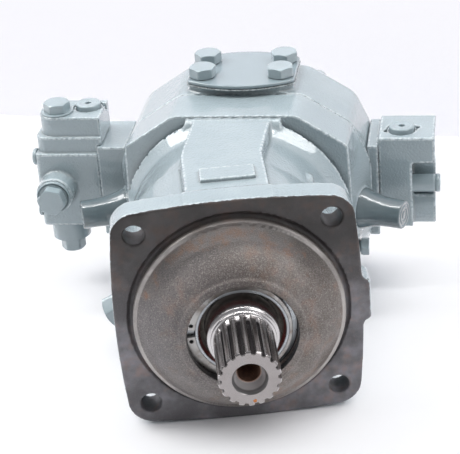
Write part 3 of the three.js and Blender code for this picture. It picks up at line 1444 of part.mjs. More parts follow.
/** The hexagon plug in the front boss. */
function frontPlug() {
  const seat = LEFT_FRONT_Y - FRONT_BOSS_LENGTH;
  return hexPlug({
    seat: [FRONT_BOSS_X, seat - FRONT_RING_WIDTH - GAP, FRONT_BOSS_Z],
    direction: FORWARD,
    thread: FRONT_PLUG_THREAD_RADIUS,
    threadLength: FRONT_PLUG_THREAD_LENGTH,
    collar: FRONT_RING_RADIUS - 2,
    collarHeight: 1,
    flats: FRONT_PLUG_FLATS,
    headHeight: FRONT_PLUG_HEAD_LENGTH,
  });
}

/** The hexagon plug over the spool. */
function topPlug() {
  return hexPlug({
    seat: [SPOOL_X, SPOOL_Y, LEFT_TOP_Z],
    direction: Z,
    thread: SPOOL_BORE_RADIUS - GAP,
    threadLength: TOP_PLUG_THREAD_LENGTH,
    collar: TOP_PLUG_COLLAR_RADIUS,
    collarHeight: TOP_PLUG_COLLAR_HEIGHT,
    flats: TOP_PLUG_FLATS,
    headHeight: TOP_PLUG_HEAD_HEIGHT,
  });
}

/** The long plug under the spool. */
function bottomPlug() {
  return hexPlug({
    seat: [SPOOL_X, SPOOL_Y, LEFT_BOTTOM_Z],
    direction: DOWN,
    thread: SPOOL_BORE_RADIUS - GAP,
    threadLength: SPOOL_BOTTOM_Z - SPOOL_TRAVEL - LEFT_BOTTOM_Z - GAP,
    collar: BOTTOM_PLUG_COLLAR_RADIUS,
    collarHeight: BOTTOM_PLUG_COLLAR_HEIGHT,
    flats: BOTTOM_PLUG_FLATS,
    headHeight: BOTTOM_PLUG_HEAD_HEIGHT,
  });
}

/** The control spool with its two waists. */
function controlSpool() {
  const waist = SPOOL_RADIUS - 2;
  const land = SPOOL_LENGTH / 5;
  const profile = [[0, 0]];
  for (let i = 0; i < 5; i += 1) {
    const radius = i % 2 ? waist : SPOOL_RADIUS;
    profile.push([radius, i * land], [radius, (i + 1) * land]);
  }
  profile.push([0, SPOOL_LENGTH]);
  return lathe(profile, SMALL).rotateX(Math.PI / 2).translate(SPOOL_X, SPOOL_Y, SPOOL_BOTTOM_Z);
}

/** The spring over the spool. */
function spoolSpring() {
  const start = SPOOL_BOTTOM_Z + SPOOL_LENGTH + GAP;
  return coil({
    meanRadius: SPOOL_BORE_RADIUS - 1.4,
    wire: 1.6,
    from: start,
    to: LEFT_TOP_Z - TOP_PLUG_THREAD_LENGTH - GAP,
    turns: 4,
  })
    .rotateX(Math.PI / 2)
    .translate(SPOOL_X, SPOOL_Y, 0);
}

// ---------------------------------------------------------------- right valve block

/** The valve block on the right, notched at its outer front edge round the adjuster. */
function rightValveBlock() {
  const body = boxBetween(
    [RIGHT_INNER_X, RIGHT_FRONT_Y, RIGHT_BOTTOM_Z],
    [RIGHT_OUTER_X, RIGHT_REAR_Y, RIGHT_TOP_Z],
  );
  const notch = boxBetween(
    [NOTCH_X, RIGHT_FRONT_Y - PAST, NOTCH_BOTTOM_Z],
    [RIGHT_OUTER_X + PAST, RIGHT_FRONT_Y + NOTCH_DEPTH, NOTCH_TOP_Z],
  );
  const lower = boxBetween(
    [NOTCH_X, RIGHT_FRONT_Y - PAST, RIGHT_BOTTOM_Z - PAST],
    [RIGHT_OUTER_X + PAST, RIGHT_FRONT_Y + LOWER_STEP, NOTCH_BOTTOM_Z + 1],
  );
  const adjuster = bar(ADJUSTER_RADIUS + GAP, NOTCH_X - ADJUSTER_DEPTH, NOTCH_X + 1, [0, ADJUSTER_Y, ADJUSTER_Z], X);
  return build([body], [notch, lower, adjuster, ...capCuts([RIGHT_CAP_X, RIGHT_CAP_Y], RIGHT_TOP_Z)]);
}

/** The round adjuster that lies in the notch of the right valve block. */
function rightAdjuster() {
  const end = RIGHT_OUTER_X + ADJUSTER_STAND;
  return lathe(
    [
      [0, NOTCH_X - ADJUSTER_DEPTH + GAP],
      [ADJUSTER_RADIUS, NOTCH_X - ADJUSTER_DEPTH + GAP],
      [ADJUSTER_RADIUS, end - 1],
      [ADJUSTER_RADIUS - 1, end],
      [0, end],
    ],
    MEDIUM,
  )
    .rotateZ(-Math.PI / 2)
    .translate(0, ADJUSTER_Y, ADJUSTER_Z);
}

// ---------------------------------------------------------------- stops and drain plugs

/** A stop screw, with a narrow tip that meets the valve segment at one end of its swing. */
function stopScrew(side) {
  const { touch, outward } = stopLine(side);
  const tip = stopReach();
  const end = STOP_SEAT + STOP_SCREW_STAND;
  const body = lathe(
    [
      [0, tip],
      [STOP_TIP_RADIUS, tip],
      [STOP_SCREW_RADIUS, tip + 3],
      [STOP_SCREW_RADIUS, end - 1],
      [STOP_SCREW_RADIUS - 1, end],
      [0, end],
    ],
    COARSE,
  );
  return aimed(body, touch, outward);
}

/** The hollow cap over a stop screw, flared at its foot. */
function stopCap(side) {
  const { touch, outward } = stopLine(side);
  const foot = STOP_SEAT + GAP;
  const end = STOP_SEAT + STOP_CAP_LENGTH;
  const flareEnd = foot + STOP_CAP_FLARE;
  const body = lathe(
    [
      [STOP_CAP_HOLLOW_RADIUS, foot],
      [STOP_CAP_FOOT_RADIUS, foot],
      [STOP_CAP_FOOT_RADIUS - 0.6, foot + 2],
      [STOP_CAP_RADIUS, flareEnd],
      [STOP_CAP_END_RADIUS + 0.4, end - 1],
      [STOP_CAP_END_RADIUS - 0.8, end],
      [0, end],
      [0, end - STOP_CAP_WALL],
      [STOP_CAP_HOLLOW_RADIUS, end - STOP_CAP_WALL],
    ],
    MEDIUM,
  );
  return aimed(body, touch, outward);
}

/** The hexagon drain plug on the lower left of the neck. */
function drainPlug() {
  const direction = drainDirection();
  return hexPlug({
    seat: [direction[0] * DRAIN_SEAT, DRAIN_Y, direction[2] * DRAIN_SEAT],
    direction,
    thread: DRAIN_THREAD_RADIUS,
    threadLength: DRAIN_THREAD_LENGTH,
    collar: DRAIN_BOSS_RADIUS - 1,
    collarHeight: 2,
    flats: DRAIN_FLATS,
    headHeight: DRAIN_HEAD_LENGTH - 2,
  });
}

/** The small hexagon plug on the right side of the housing block. */
function bleedPlug() {
  return hexPlug({
    seat: [bleedSeat() + 1, BLEED_Y, BLEED_Z],
    direction: X,
    thread: BLEED_THREAD_RADIUS,
    threadLength: BLEED_THREAD_LENGTH,
    collar: BLEED_FLATS / 2 + 0.5,
    collarHeight: 1,
    flats: BLEED_FLATS,
    headHeight: BLEED_HEAD_LENGTH - 1,
  });
}

// ---------------------------------------------------------------- assembly

/** The pieces that lie in the shaft frame. */
function shaftPieces() {
  const front = frontBearing();
  const rear = rearBearing();
  return [
    piece("front_housing", paint, frontHousing()),
    piece("shaft_seal", sealRubber, shaftSeal()),
    piece("seal_circlip", springSteel, sealCirclip()),
    piece("front_bearing_cup", groundSteel, front.cup),
    piece("front_bearing_cone", groundSteel, front.cone),
    piece("front_bearing_rollers", groundSteel, front.rollers),
    piece("rear_bearing_cup", groundSteel, rear.cup),
    piece("rear_bearing_cone", groundSteel, rear.cone),
    piece("rear_bearing_rollers", groundSteel, rear.rollers),
    piece("drive_shaft", groundSteel, driveShaft()),
    piece("bearing_nut", darkSteel, bearingNut()),
    piece("ball_retainer", darkSteel, ballRetainer()),
    piece("cylinder_block", darkSteel, cylinderBlock()),
    piece("centre_pin", groundSteel, centrePin()),
    piece("centre_spring", springSteel, centreSpring()),
    piece("valve_segment", bronze, valveSegment()),
    ...ballPlaces().map((place, i) => piece(`piston_${i + 1}`, groundSteel, piston(place))),
  ];
}

/** The pieces that lie in the bent frame. */
function bentPieces() {
  const coverBolts = portPattern(COVER_BOLT_SPACING_X, COVER_BOLT_SPACING_Y);
  const leftCap = [LEFT_CAP_X, LEFT_CAP_Y];
  const rightCap = [RIGHT_CAP_X, RIGHT_CAP_Y];
  return [
    piece("end_housing", paint, endHousing()),
    piece("housing_gasket", gasketPaper, housingGasket()),
    piece("cover_gasket", paint, coverGasket()),
    piece("port_cover", paint, portCover()),
    ...coverBolts.map((place, i) => piece(`cover_bolt_${i + 1}`, paint, coverBolt(place))),
    ...housingBoltPlaces().map((place, i) => piece(`housing_bolt_${i + 1}`, darkSteel, housingBolt(place))),
    piece("control_piston", groundSteel, controlPiston()),
    piece("positioning_pin", groundSteel, positioningPin()),
    piece("left_end_block", paint, endBlock(-1, LEFT_INNER_X + GAP)),
    piece("right_end_block", paint, endBlock(1, RIGHT_INNER_X - GAP)),
    piece("left_valve_block", paint, leftValveBlock()),
    piece("left_top_plug", paint, topPlug()),
    piece("left_cap_plug", paint, capPlug(leftCap, LEFT_TOP_Z)),
    piece("left_cap_ring", paint, capRing(leftCap, LEFT_TOP_Z)),
    piece("left_front_ring", paint, frontRing()),
    piece("left_front_plug", paint, frontPlug()),
    piece("left_bottom_plug", paint, bottomPlug()),
    piece("left_side_plug_upper", paint, sidePlug(SIDE_PLUG_UPPER_RADIUS, SIDE_PLUG_UPPER_Y, SIDE_PLUG_UPPER_Z)),
    piece("left_side_plug_lower", paint, sidePlug(SIDE_PLUG_LOWER_RADIUS, SIDE_PLUG_LOWER_Y, SIDE_PLUG_LOWER_Z)),
    piece("control_spool", groundSteel, controlSpool()),
    piece("spool_spring", springSteel, spoolSpring()),
    piece("right_valve_block", paint, rightValveBlock()),
    piece("right_cap_plug", paint, capPlug(rightCap, RIGHT_TOP_Z)),
    piece("right_cap_ring", paint, capRing(rightCap, RIGHT_TOP_Z)),
    piece("right_adjuster", paint, rightAdjuster()),
    piece("stop_screw_left", darkSteel, stopScrew(-1)),
    piece("stop_screw_right", darkSteel, stopScrew(1)),
    piece("stop_cap_left", paint, stopCap(-1)),
    piece("stop_cap_right", paint, stopCap(1)),
    piece("drain_plug", paint, drainPlug()),
    piece("bleed_plug", paint, bleedPlug()),
  ];
}

/** The whole pump, standing on Z = 0 with the middle of its box over the origin. */
function pump() {
  const swivelHousing = new THREE.Group();
  bentFrame().decompose(swivelHousing.position, swivelHousing.quaternion, swivelHousing.scale);
  swivelHousing.add(...bentPieces());
  const assembly = new THREE.Group();
  assembly.add(...shaftPieces(), swivelHousing);
  assembly.updateMatrixWorld(true);
  const box = new THREE.Box3().setFromObject(assembly, true);
  const middle = box.getCenter(new THREE.Vector3());
  assembly.position.set(-middle.x, -middle.y, -box.min.z);
  const whole = new THREE.Group();
  whole.add(assembly);
  return whole;
}

export default pump();
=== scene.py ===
"""Dresses a bent-axis axial piston pump: painted castings, bare drive end, control blocks, plugs and inner works.

Lengths inside the forms are in millimetres in one of two frames. The shaft frame has its origin where the
shaft axis crosses the flange face, with y to the rear and z up. The bent frame has its origin at the pivot
of the swivel motion and its y axis along the swivel housing. Finished meshes are in metres in the row frame,
and so are the lengths in the finishes, which read the pieces' own coordinates.
"""

import json
import logging
import math
from dataclasses import dataclass
from enum import Enum
from typing import Callable, Optional, Sequence

import bpy
import numpy as np
from mathutils import Matrix, Vector

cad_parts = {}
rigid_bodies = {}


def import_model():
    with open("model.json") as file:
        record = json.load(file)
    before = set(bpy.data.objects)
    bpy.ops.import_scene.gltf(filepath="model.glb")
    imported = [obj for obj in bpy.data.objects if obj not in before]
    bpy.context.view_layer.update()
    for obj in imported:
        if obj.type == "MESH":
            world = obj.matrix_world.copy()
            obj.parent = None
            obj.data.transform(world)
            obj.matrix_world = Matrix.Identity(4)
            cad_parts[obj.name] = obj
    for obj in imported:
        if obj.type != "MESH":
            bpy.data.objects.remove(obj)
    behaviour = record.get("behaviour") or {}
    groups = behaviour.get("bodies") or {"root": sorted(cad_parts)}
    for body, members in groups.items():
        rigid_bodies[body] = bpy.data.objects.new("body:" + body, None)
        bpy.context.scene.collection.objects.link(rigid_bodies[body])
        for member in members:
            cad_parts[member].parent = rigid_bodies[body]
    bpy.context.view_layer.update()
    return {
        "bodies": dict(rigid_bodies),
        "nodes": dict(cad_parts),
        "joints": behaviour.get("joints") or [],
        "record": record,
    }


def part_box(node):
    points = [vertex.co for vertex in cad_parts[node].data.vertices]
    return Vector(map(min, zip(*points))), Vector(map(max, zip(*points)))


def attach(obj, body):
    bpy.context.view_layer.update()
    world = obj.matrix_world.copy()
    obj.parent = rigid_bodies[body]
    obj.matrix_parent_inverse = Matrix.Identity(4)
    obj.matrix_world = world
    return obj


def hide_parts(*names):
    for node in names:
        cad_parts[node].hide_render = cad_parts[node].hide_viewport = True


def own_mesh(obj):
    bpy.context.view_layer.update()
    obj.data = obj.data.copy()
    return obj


LOG = logging.getLogger("pump")
MM = 0.001

Array = np.ndarray
Piece = bpy.types.Object
Material = bpy.types.Material
Tree = bpy.types.NodeTree
Node = bpy.types.Node
Socket = bpy.types.NodeSocket
Form = Callable[["Points"], Array]
Triple = tuple[float, float, float]
Rows = tuple[tuple[float, ...], ...]
Span = tuple[float, float]
Colour = Triple

# The lean of the bent frame, and how far behind the flange face its pivot lies.
BEND = math.radians(12.0)
PIVOT_Y = 78.0

# Places in the bent frame that a casting and the pieces in it share.
STOP_ANGLE = math.radians(20.0)
STOP_CIRCLE = 99.5
PORT_Y = 122.0
COVER_BOLT_XY = (28.6, 13.9)
JOINT_BOLT_XZ = (50.0, 66.0)
CONTROL_Y = 126.0
DRAIN_ANGLE = math.radians(209.0)
DRAIN_Y = 8.0
DRAIN_SEAT = 92.0
BLEED_YZ = (63.0, -26.0)
BLEED_SEAT = 85.3
SPOOL_XY = (-143.8, 116.0)
FRONT_PLUG_XZ = (-145.5, 4.5)
LEFT_CAP_AT = (-121.6, 125.5, 60.3)
RIGHT_CAP_AT = (115.2, 115.7, 44.0)

# Directions in the bent frame.
UP, DOWN = (0, 0, 1), (0, 0, -1)
FRONT, BACK = (0, -1, 0), (0, 1, 0)
LEFT, RIGHT = (-1, 0, 0), (1, 0, 0)


# ---- places


@dataclass(frozen=True)
class Points:
    """Many points as three coordinate arrays, in millimetres."""

    x: Array
    y: Array
    z: Array

    def bent(self) -> "Points":
        """The same points in the bent frame: shifted to the pivot and turned about the upright axis."""
        c, s = math.cos(BEND), math.sin(BEND)
        y = self.y - PIVOT_Y
        return Points(self.x * c - y * s, self.x * s + y * c, self.z)


@dataclass(frozen=True)
class Place:
    """A local frame in millimetres: where its origin lies and where its axes point in the row frame."""

    origin: Array
    axes: Array

    def out(self, points: Array) -> Array:
        """Local points in millimetres as row points in metres: the origin plus each coordinate along its axis."""
        return self.origin + MM * points @ self.axes

    def turn(self, directions: Array) -> Array:
        """Local directions as row directions."""
        return directions @ self.axes

    def at(self, origin: Sequence[float], axis: Sequence[float], side: Sequence[float] = (0, 0, 1)) -> "Place":
        """A frame inside this one whose y axis points along a direction.

        Args:
            origin: The new origin in this frame, in millimetres.
            axis: The direction of the new y axis in this frame.
            side: A direction that the new z axis leans towards.

        Returns:
            The new frame.
        """
        y = np.asarray(axis, float) / np.linalg.norm(axis)
        hint = np.asarray(side, float)
        z = hint - y * (hint @ y)
        z /= np.linalg.norm(z)
        x = np.cross(y, z)
        local = np.stack([x, y, z])
        return Place(self.out(np.asarray(origin, float)[None])[0], local @ self.axes)


def joint_place(frame: dict, name: str, lean: float = 0.0) -> Place:
    """The frame at one of the record's own joints, turned about the upright axis by its lean."""
    joint = next(j for j in frame["joints"] if j["name"] == name)
    c, s = math.cos(lean), math.sin(lean)
    return Place(np.array(joint["pos_m"], float), np.array([[c, -s, 0], [s, c, 0], [0, 0, 1.0]]))


# ---- implicit forms


def meet(a: Array, b: Array, k: float = 0.0) -> Array:
    """The part inside both forms: the larger distance, with the edge rounded over a width k."""
    if k <= 0:
        return np.maximum(a, b)
    h = np.maximum(k - np.abs(a - b), 0) / k
    return np.maximum(a, b) + h * h * (k / 4)


def join(a: Array, b: Array, k: float = 0.0) -> Array:
    """The part inside either form: the smaller distance, with the corner filled over a width k."""
    return -meet(-a, -b, k)


def less(a: Array, b: Array, k: float = 0.0) -> Array:
    """The first form without the second, with the rim rounded over a width k."""
    return meet(a, -b, k)


def fillet(a: Array, b: Array, r: float) -> Array:
    """The part inside either form, with an exact round fillet of radius r where their outsides meet."""
    u, v = np.maximum(r - a, 0), np.maximum(r - b, 0)
    return np.maximum(r, np.minimum(a, b)) - np.hypot(u, v)


def rounded(u: Array, v: Array, r: float) -> Array:
    """Inside both u and v, with an exact round of radius r along their edge."""
    a, b = u + r, v + r
    return np.hypot(np.maximum(a, 0), np.maximum(b, 0)) + np.minimum(np.maximum(a, b), 0) - r


def rod(radial: Array, along: Array, radius: float, start: float, end: float, edge: float = 0.5) -> Array:
    """A round bar: within its radius and between its two ends, edges rounded."""
    return rounded(radial - radius, np.abs(along - (start + end) / 2) - (end - start) / 2, edge)


def brick(p: Points, low: Sequence[float], high: Sequence[float], edge: float = 0.5) -> Array:
    """A box between two corners with every edge rounded: the distance to the shrunken box less the radius."""
    q = [
        np.abs(c - (a + b) / 2) - (b - a) / 2 + edge
        for c, a, b in zip((p.x, p.y, p.z), low, high)
    ]
    outside = np.sqrt(sum(np.maximum(c, 0) ** 2 for c in q))
    return outside + np.minimum(np.maximum.reduce(q), 0) - edge


def either(*parts: Array) -> Array:
    """The part inside any of several forms, with sharp corners: the least of their distances."""
    least = parts[0]
    for part in parts[1:]:
        least = np.minimum(least, part)
    return least


@dataclass(frozen=True)
class Surface:
    """A closed mesh worked out on a grid: corner points, four-sided faces, normals and how edges curve."""

    points: Array
    faces: Array
    normals: Array
    curve: Array


def sample(form: Form, points: Array) -> Array:
    """A form's distances at many points, worked out in blocks that fit the memory cache."""
    blocks = [points[i : i + 200000] for i in range(0, len(points), 200000)]
    return np.concatenate([form(Points(b[:, 0], b[:, 1], b[:, 2])) for b in blocks]).astype(np.float32)


def gradient(form: Form, points: Array, reach: float) -> tuple[Array, Array]:
    """Slope and curving of a form at points, from its values a small reach away along each axis.

    Args:
        form: The distance function.
        points: Where to look.
        reach: How far away to look, in millimetres.

    Returns:
        The slope as one vector a point, and the sum of second differences, which is high on outer edges.
    """
    middle = sample(form, points)
    slope = np.empty_like(points)
    curve = np.zeros(len(points), np.float32)
    for axis in range(3):
        step = np.zeros(3, np.float32)
        step[axis] = reach
        ahead, behind = sample(form, points + step), sample(form, points - step)
        slope[:, axis] = (ahead - behind) / (2 * reach)
        curve += (ahead + behind - 2 * middle) / reach**2
    return slope, curve


def around(axis: int, shift: tuple[int, int], shape: Sequence[int]) -> tuple[slice, ...]:
    """The slice of the cells that lie on one of the four sides of every grid edge along an axis."""
    slices = [slice(None)] * 3
    others = [d for d in range(3) if d != axis]
    for d, s in zip(others, shift):
        slices[d] = slice(0, shape[d] - 1) if s else slice(1, shape[d])
    return tuple(slices)


def implicit_surface(form: Form, low: Sequence[float], high: Sequence[float], step: float) -> Surface:
    """The surface of a form: one corner in each grid cell that the surface crosses, moved onto the surface.

    A cell's corner starts at the mean of the places where its edges cross zero. Each crossed grid edge gives
    a face through the four cells around it. The corners then slide along the slope until the distance is nil.

    Args:
        form: The distance function, negative inside.
        low: The lowest corner of the grid.
        high: The highest corner of the grid.
        step: The grid's pitch.

    Returns:
        The closed surface in the form's own frame.
    """
    axes = [np.arange(a, b + step, step, dtype=np.float32) for a, b in zip(low, high)]
    shape = tuple(len(a) for a in axes)
    grid = np.stack(np.meshgrid(*axes, indexing="ij"), -1).reshape(-1, 3)
    value = sample(form, grid).reshape(shape)
    inside = value < 0
    cells = tuple(n - 1 for n in shape)
    total = np.zeros(cells + (3,), np.float32)
    count = np.zeros(cells, np.float32)
    crossings = []
    index = np.indices(shape, dtype=np.float32)
    for axis in range(3):
        head = tuple(slice(0, -1) if d == axis else slice(None) for d in range(3))
        tail = tuple(slice(1, None) if d == axis else slice(None) for d in range(3))
        crossed = inside[head] != inside[tail]
        share = np.where(crossed, value[head] / np.where(crossed, value[head] - value[tail], 1), 0)
        place = [index[d][head] + (share if d == axis else 0) for d in range(3)]
        crossings.append((axis, crossed, inside[head]))
        for shift in ((0, 0), (0, 1), (1, 0), (1, 1)):
            mine = around(axis, shift, shape)
            count += crossed[mine]
            for d in range(3):
                total[..., d] += np.where(crossed[mine], place[d][mine], 0)
    active = count > 0
    number = np.full(cells, -1, np.int32)
    number[active] = np.arange(active.sum(), dtype=np.int32)
    corners = total[active] / count[active][:, None] * step + np.array([a[0] for a in axes], np.float32)
    faces = []
    for axis, crossed, start_inside in crossings:
        others = [d for d in range(3) if d != axis]
        inner = tuple(slice(None) if d == axis else slice(1, -1) for d in range(3))
        hit = np.argwhere(crossed[inner])
        outward = start_inside[inner][tuple(hit.T)]
        ring = []
        for a, b in ((0, 0), (1, 0), (1, 1), (0, 1)):
            at = hit.copy()
            at[:, others[0]] += a
            at[:, others[1]] += b
            ring.append(number[tuple(at.T)])
        quad = np.stack(ring, 1)
        flip = outward if axis != 1 else ~outward
        faces.append(np.where(flip[:, None], quad, quad[:, ::-1]))
    points = corners.astype(np.float32)
    for _ in range(4):
        distance = sample(form, points)
        slope, _curve = gradient(form, points, 0.25)
        size = np.maximum((slope**2).sum(1), 0.1)
        push = slope * (distance / size)[:, None]
        reach = np.linalg.norm(push, axis=1, keepdims=True)
        points = points - push * np.minimum(1, 0.6 * step / np.maximum(reach, 1e-6))
    slope, _curve = gradient(form, points, 0.35)
    _slope, curve = gradient(form, points, 1.6)
    normals = slope / np.maximum(np.linalg.norm(slope, axis=1, keepdims=True), 1e-6)
    return Surface(points, np.concatenate(faces), normals, curve)


# ---- meshes


def mesh_object(
    name: str,
    points: Array,
    faces: Array,
    normals: Optional[Array] = None,
    layers: Optional[dict[str, Array]] = None,
) -> Piece:
    """An object at the origin with a mesh in row metres.

    Args:
        name: The piece's name.
        points: One row for each corner.
        faces: One row of corner numbers for each face, all of one length.
        normals: One direction for each corner, or None to leave them to the faces.
        layers: Named values for each corner, which materials may read.

    Returns:
        The linked object.
    """
    count, sides = faces.shape
    mesh = bpy.data.meshes.new(name)
    mesh.vertices.add(len(points))
    mesh.vertices.foreach_set("co", np.ascontiguousarray(points, np.float32).ravel())
    mesh.loops.add(count * sides)
    mesh.loops.foreach_set("vertex_index", np.ascontiguousarray(faces, np.int32).ravel())
    mesh.polygons.add(count)
    mesh.polygons.foreach_set("loop_start", np.arange(0, count * sides, sides, dtype=np.int32))
    mesh.polygons.foreach_set("use_smooth", np.ones(count, bool))
    mesh.update(calc_edges=True)
    mesh.validate()
    for label, values in (layers or {}).items():
        layer = mesh.attributes.new(label, "FLOAT", "POINT")
        layer.data.foreach_set("value", np.ascontiguousarray(values, np.float32))
    if normals is not None:
        mesh.normals_split_custom_set_from_vertices(np.ascontiguousarray(normals, np.float32))
    made = bpy.data.objects.new(name, mesh)
    bpy.context.scene.collection.objects.link(made)
    return made


def cast_object(name: str, surface: Surface, place: Place) -> Piece:
    """A piece from an implicit surface, with its outer edges and inner corners kept as values for its finish."""
    edge = np.clip(surface.curve * 2.2, 0, 1)
    hollow = np.clip(-surface.curve * 2.2, 0, 1)
    return mesh_object(
        name,
        place.out(surface.points),
        surface.faces,
        place.turn(surface.normals),
        {"edge": edge, "hollow": hollow},
    )


def shell(grid: Array) -> tuple[Array, Array]:
    """Closed triangles over a grid of points whose columns wrap round.

    Each cell gives two triangles. Points that coincide become one, so that rows which shrink to a point close
    there, and triangles that lose their area are dropped. The faces are turned outwards by the sign of the
    volume that they enclose.

    Args:
        grid: Points by row and column.

    Returns:
        The points and the triangles.
    """
    rows, columns, _ = grid.shape
    flat = grid.reshape(-1, 3)
    _, first, same = np.unique(np.round(flat, 4), axis=0, return_index=True, return_inverse=True)
    number = same.reshape(rows, columns)
    a, b = number[:-1], number[1:]
    c, d = np.roll(a, -1, 1), np.roll(b, -1, 1)
    faces = np.concatenate([np.stack([a, b, d], -1).reshape(-1, 3), np.stack([a, d, c], -1).reshape(-1, 3)])
    split = (faces[:, 0] != faces[:, 1]) & (faces[:, 1] != faces[:, 2]) & (faces[:, 2] != faces[:, 0])
    faces = faces[split]
    points = flat[first]
    p, q, r = (points[faces[:, i]] for i in range(3))
    volume = (p * np.cross(q, r)).sum()
    return points, faces if volume > 0 else faces[:, ::-1]


def soften(corners: Array, radius: float, steps: int) -> Array:
    """Rounds each inner corner of a polyline by a short curve that starts and ends a radius away from it.

    The curve is a second-order blend of the point before, the corner and the point after. The reach is less
    than half of each side, so that neighbouring curves stay apart.
    """
    before, here, after = corners[:-2], corners[1:-1], corners[2:]
    away = [other - here for other in (before, after)]
    length = [np.linalg.norm(gap, axis=1, keepdims=True) for gap in away]
    start, end = (here + gap * np.minimum(radius / np.maximum(size, 1e-9), 0.45) for gap, size in zip(away, length))
    t = np.linspace(0, 1, steps)[None, :, None]
    curve = (1 - t) ** 2 * start[:, None] + 2 * t * (1 - t) * here[:, None] + t**2 * end[:, None]
    return np.concatenate([corners[:1], curve.reshape(-1, corners.shape[1]), corners[-1:]])


def hexagon(angle: Array, flats: Array) -> Array:
    """The radius of hexagons with softly rounded corners: half the flats over a high power mean of six cosines."""
    lobes = np.maximum(np.cos(angle[None, :, None] - np.arange(6) * math.pi / 3), 0)
    return flats[:, None] / 2 / (lobes**30).sum(-1) ** (1 / 30)


@dataclass(frozen=True)
class Turned:
    """A turned piece: a profile carried round the y axis, round or cut to a hexagon row by row.

    Each row of the profile has a radius, a distance along the axis and, where a hexagon limits the radius, the
    width over its flats; a width of 0 or none leaves the piece round there.
    """

    name: str
    profile: Rows
    turn: float = 0.0
    soft: float = 0.4
    sides: int = 96
    rounding: int = 4
    sharp_from: float = math.radians(38)

    def dress(self, place: Place) -> Piece:
        """The piece: radius = the smaller of the profile's and the hexagon's, as a function of row and angle."""
        rows = np.array([(*row, 0.0)[:3] for row in self.profile], float)
        path = soften(rows[:, :2], self.soft, self.rounding)
        flats = np.concatenate([rows[:1, 2], np.repeat(rows[1:-1, 2], self.rounding), rows[-1:, 2]])
        angle = np.arange(self.sides) * (2 * math.pi / self.sides)
        limit = hexagon(angle - math.radians(self.turn) + math.pi / 6, np.where(flats > 0, flats, 1e4))
        radius = np.minimum(path[:, :1], limit)
        along = np.broadcast_to(path[:, 1:], radius.shape)
        points, faces = shell(np.stack([radius * np.cos(angle), along, radius * np.sin(angle)], -1))
        piece = mesh_object(self.name, place.out(points), faces)
        piece.data.set_sharp_from_angle(angle=self.sharp_from)
        return piece


def bevelled(radius: float, start: float, end: float, flats: float, bevel: float) -> Rows:
    """Profile rows of a hexagon head: its underside, its flats, and a cone that trims its corners at the end.

    Args:
        radius: The radius over the corners.
        start: Where the head starts along the axis.
        end: Where it ends.
        flats: Its width over the flats.
        bevel: How far the cone reaches inwards from the corners.

    Returns:
        The rows from the underside to the rim of the end face.
    """
    share = np.linspace(0, 1, 6)
    fall = 0.55 * bevel
    cone = tuple((radius - bevel * t, end - fall * (1 - t), flats) for t in share)
    return ((radius, start, flats),) + cone


# ---- finishes


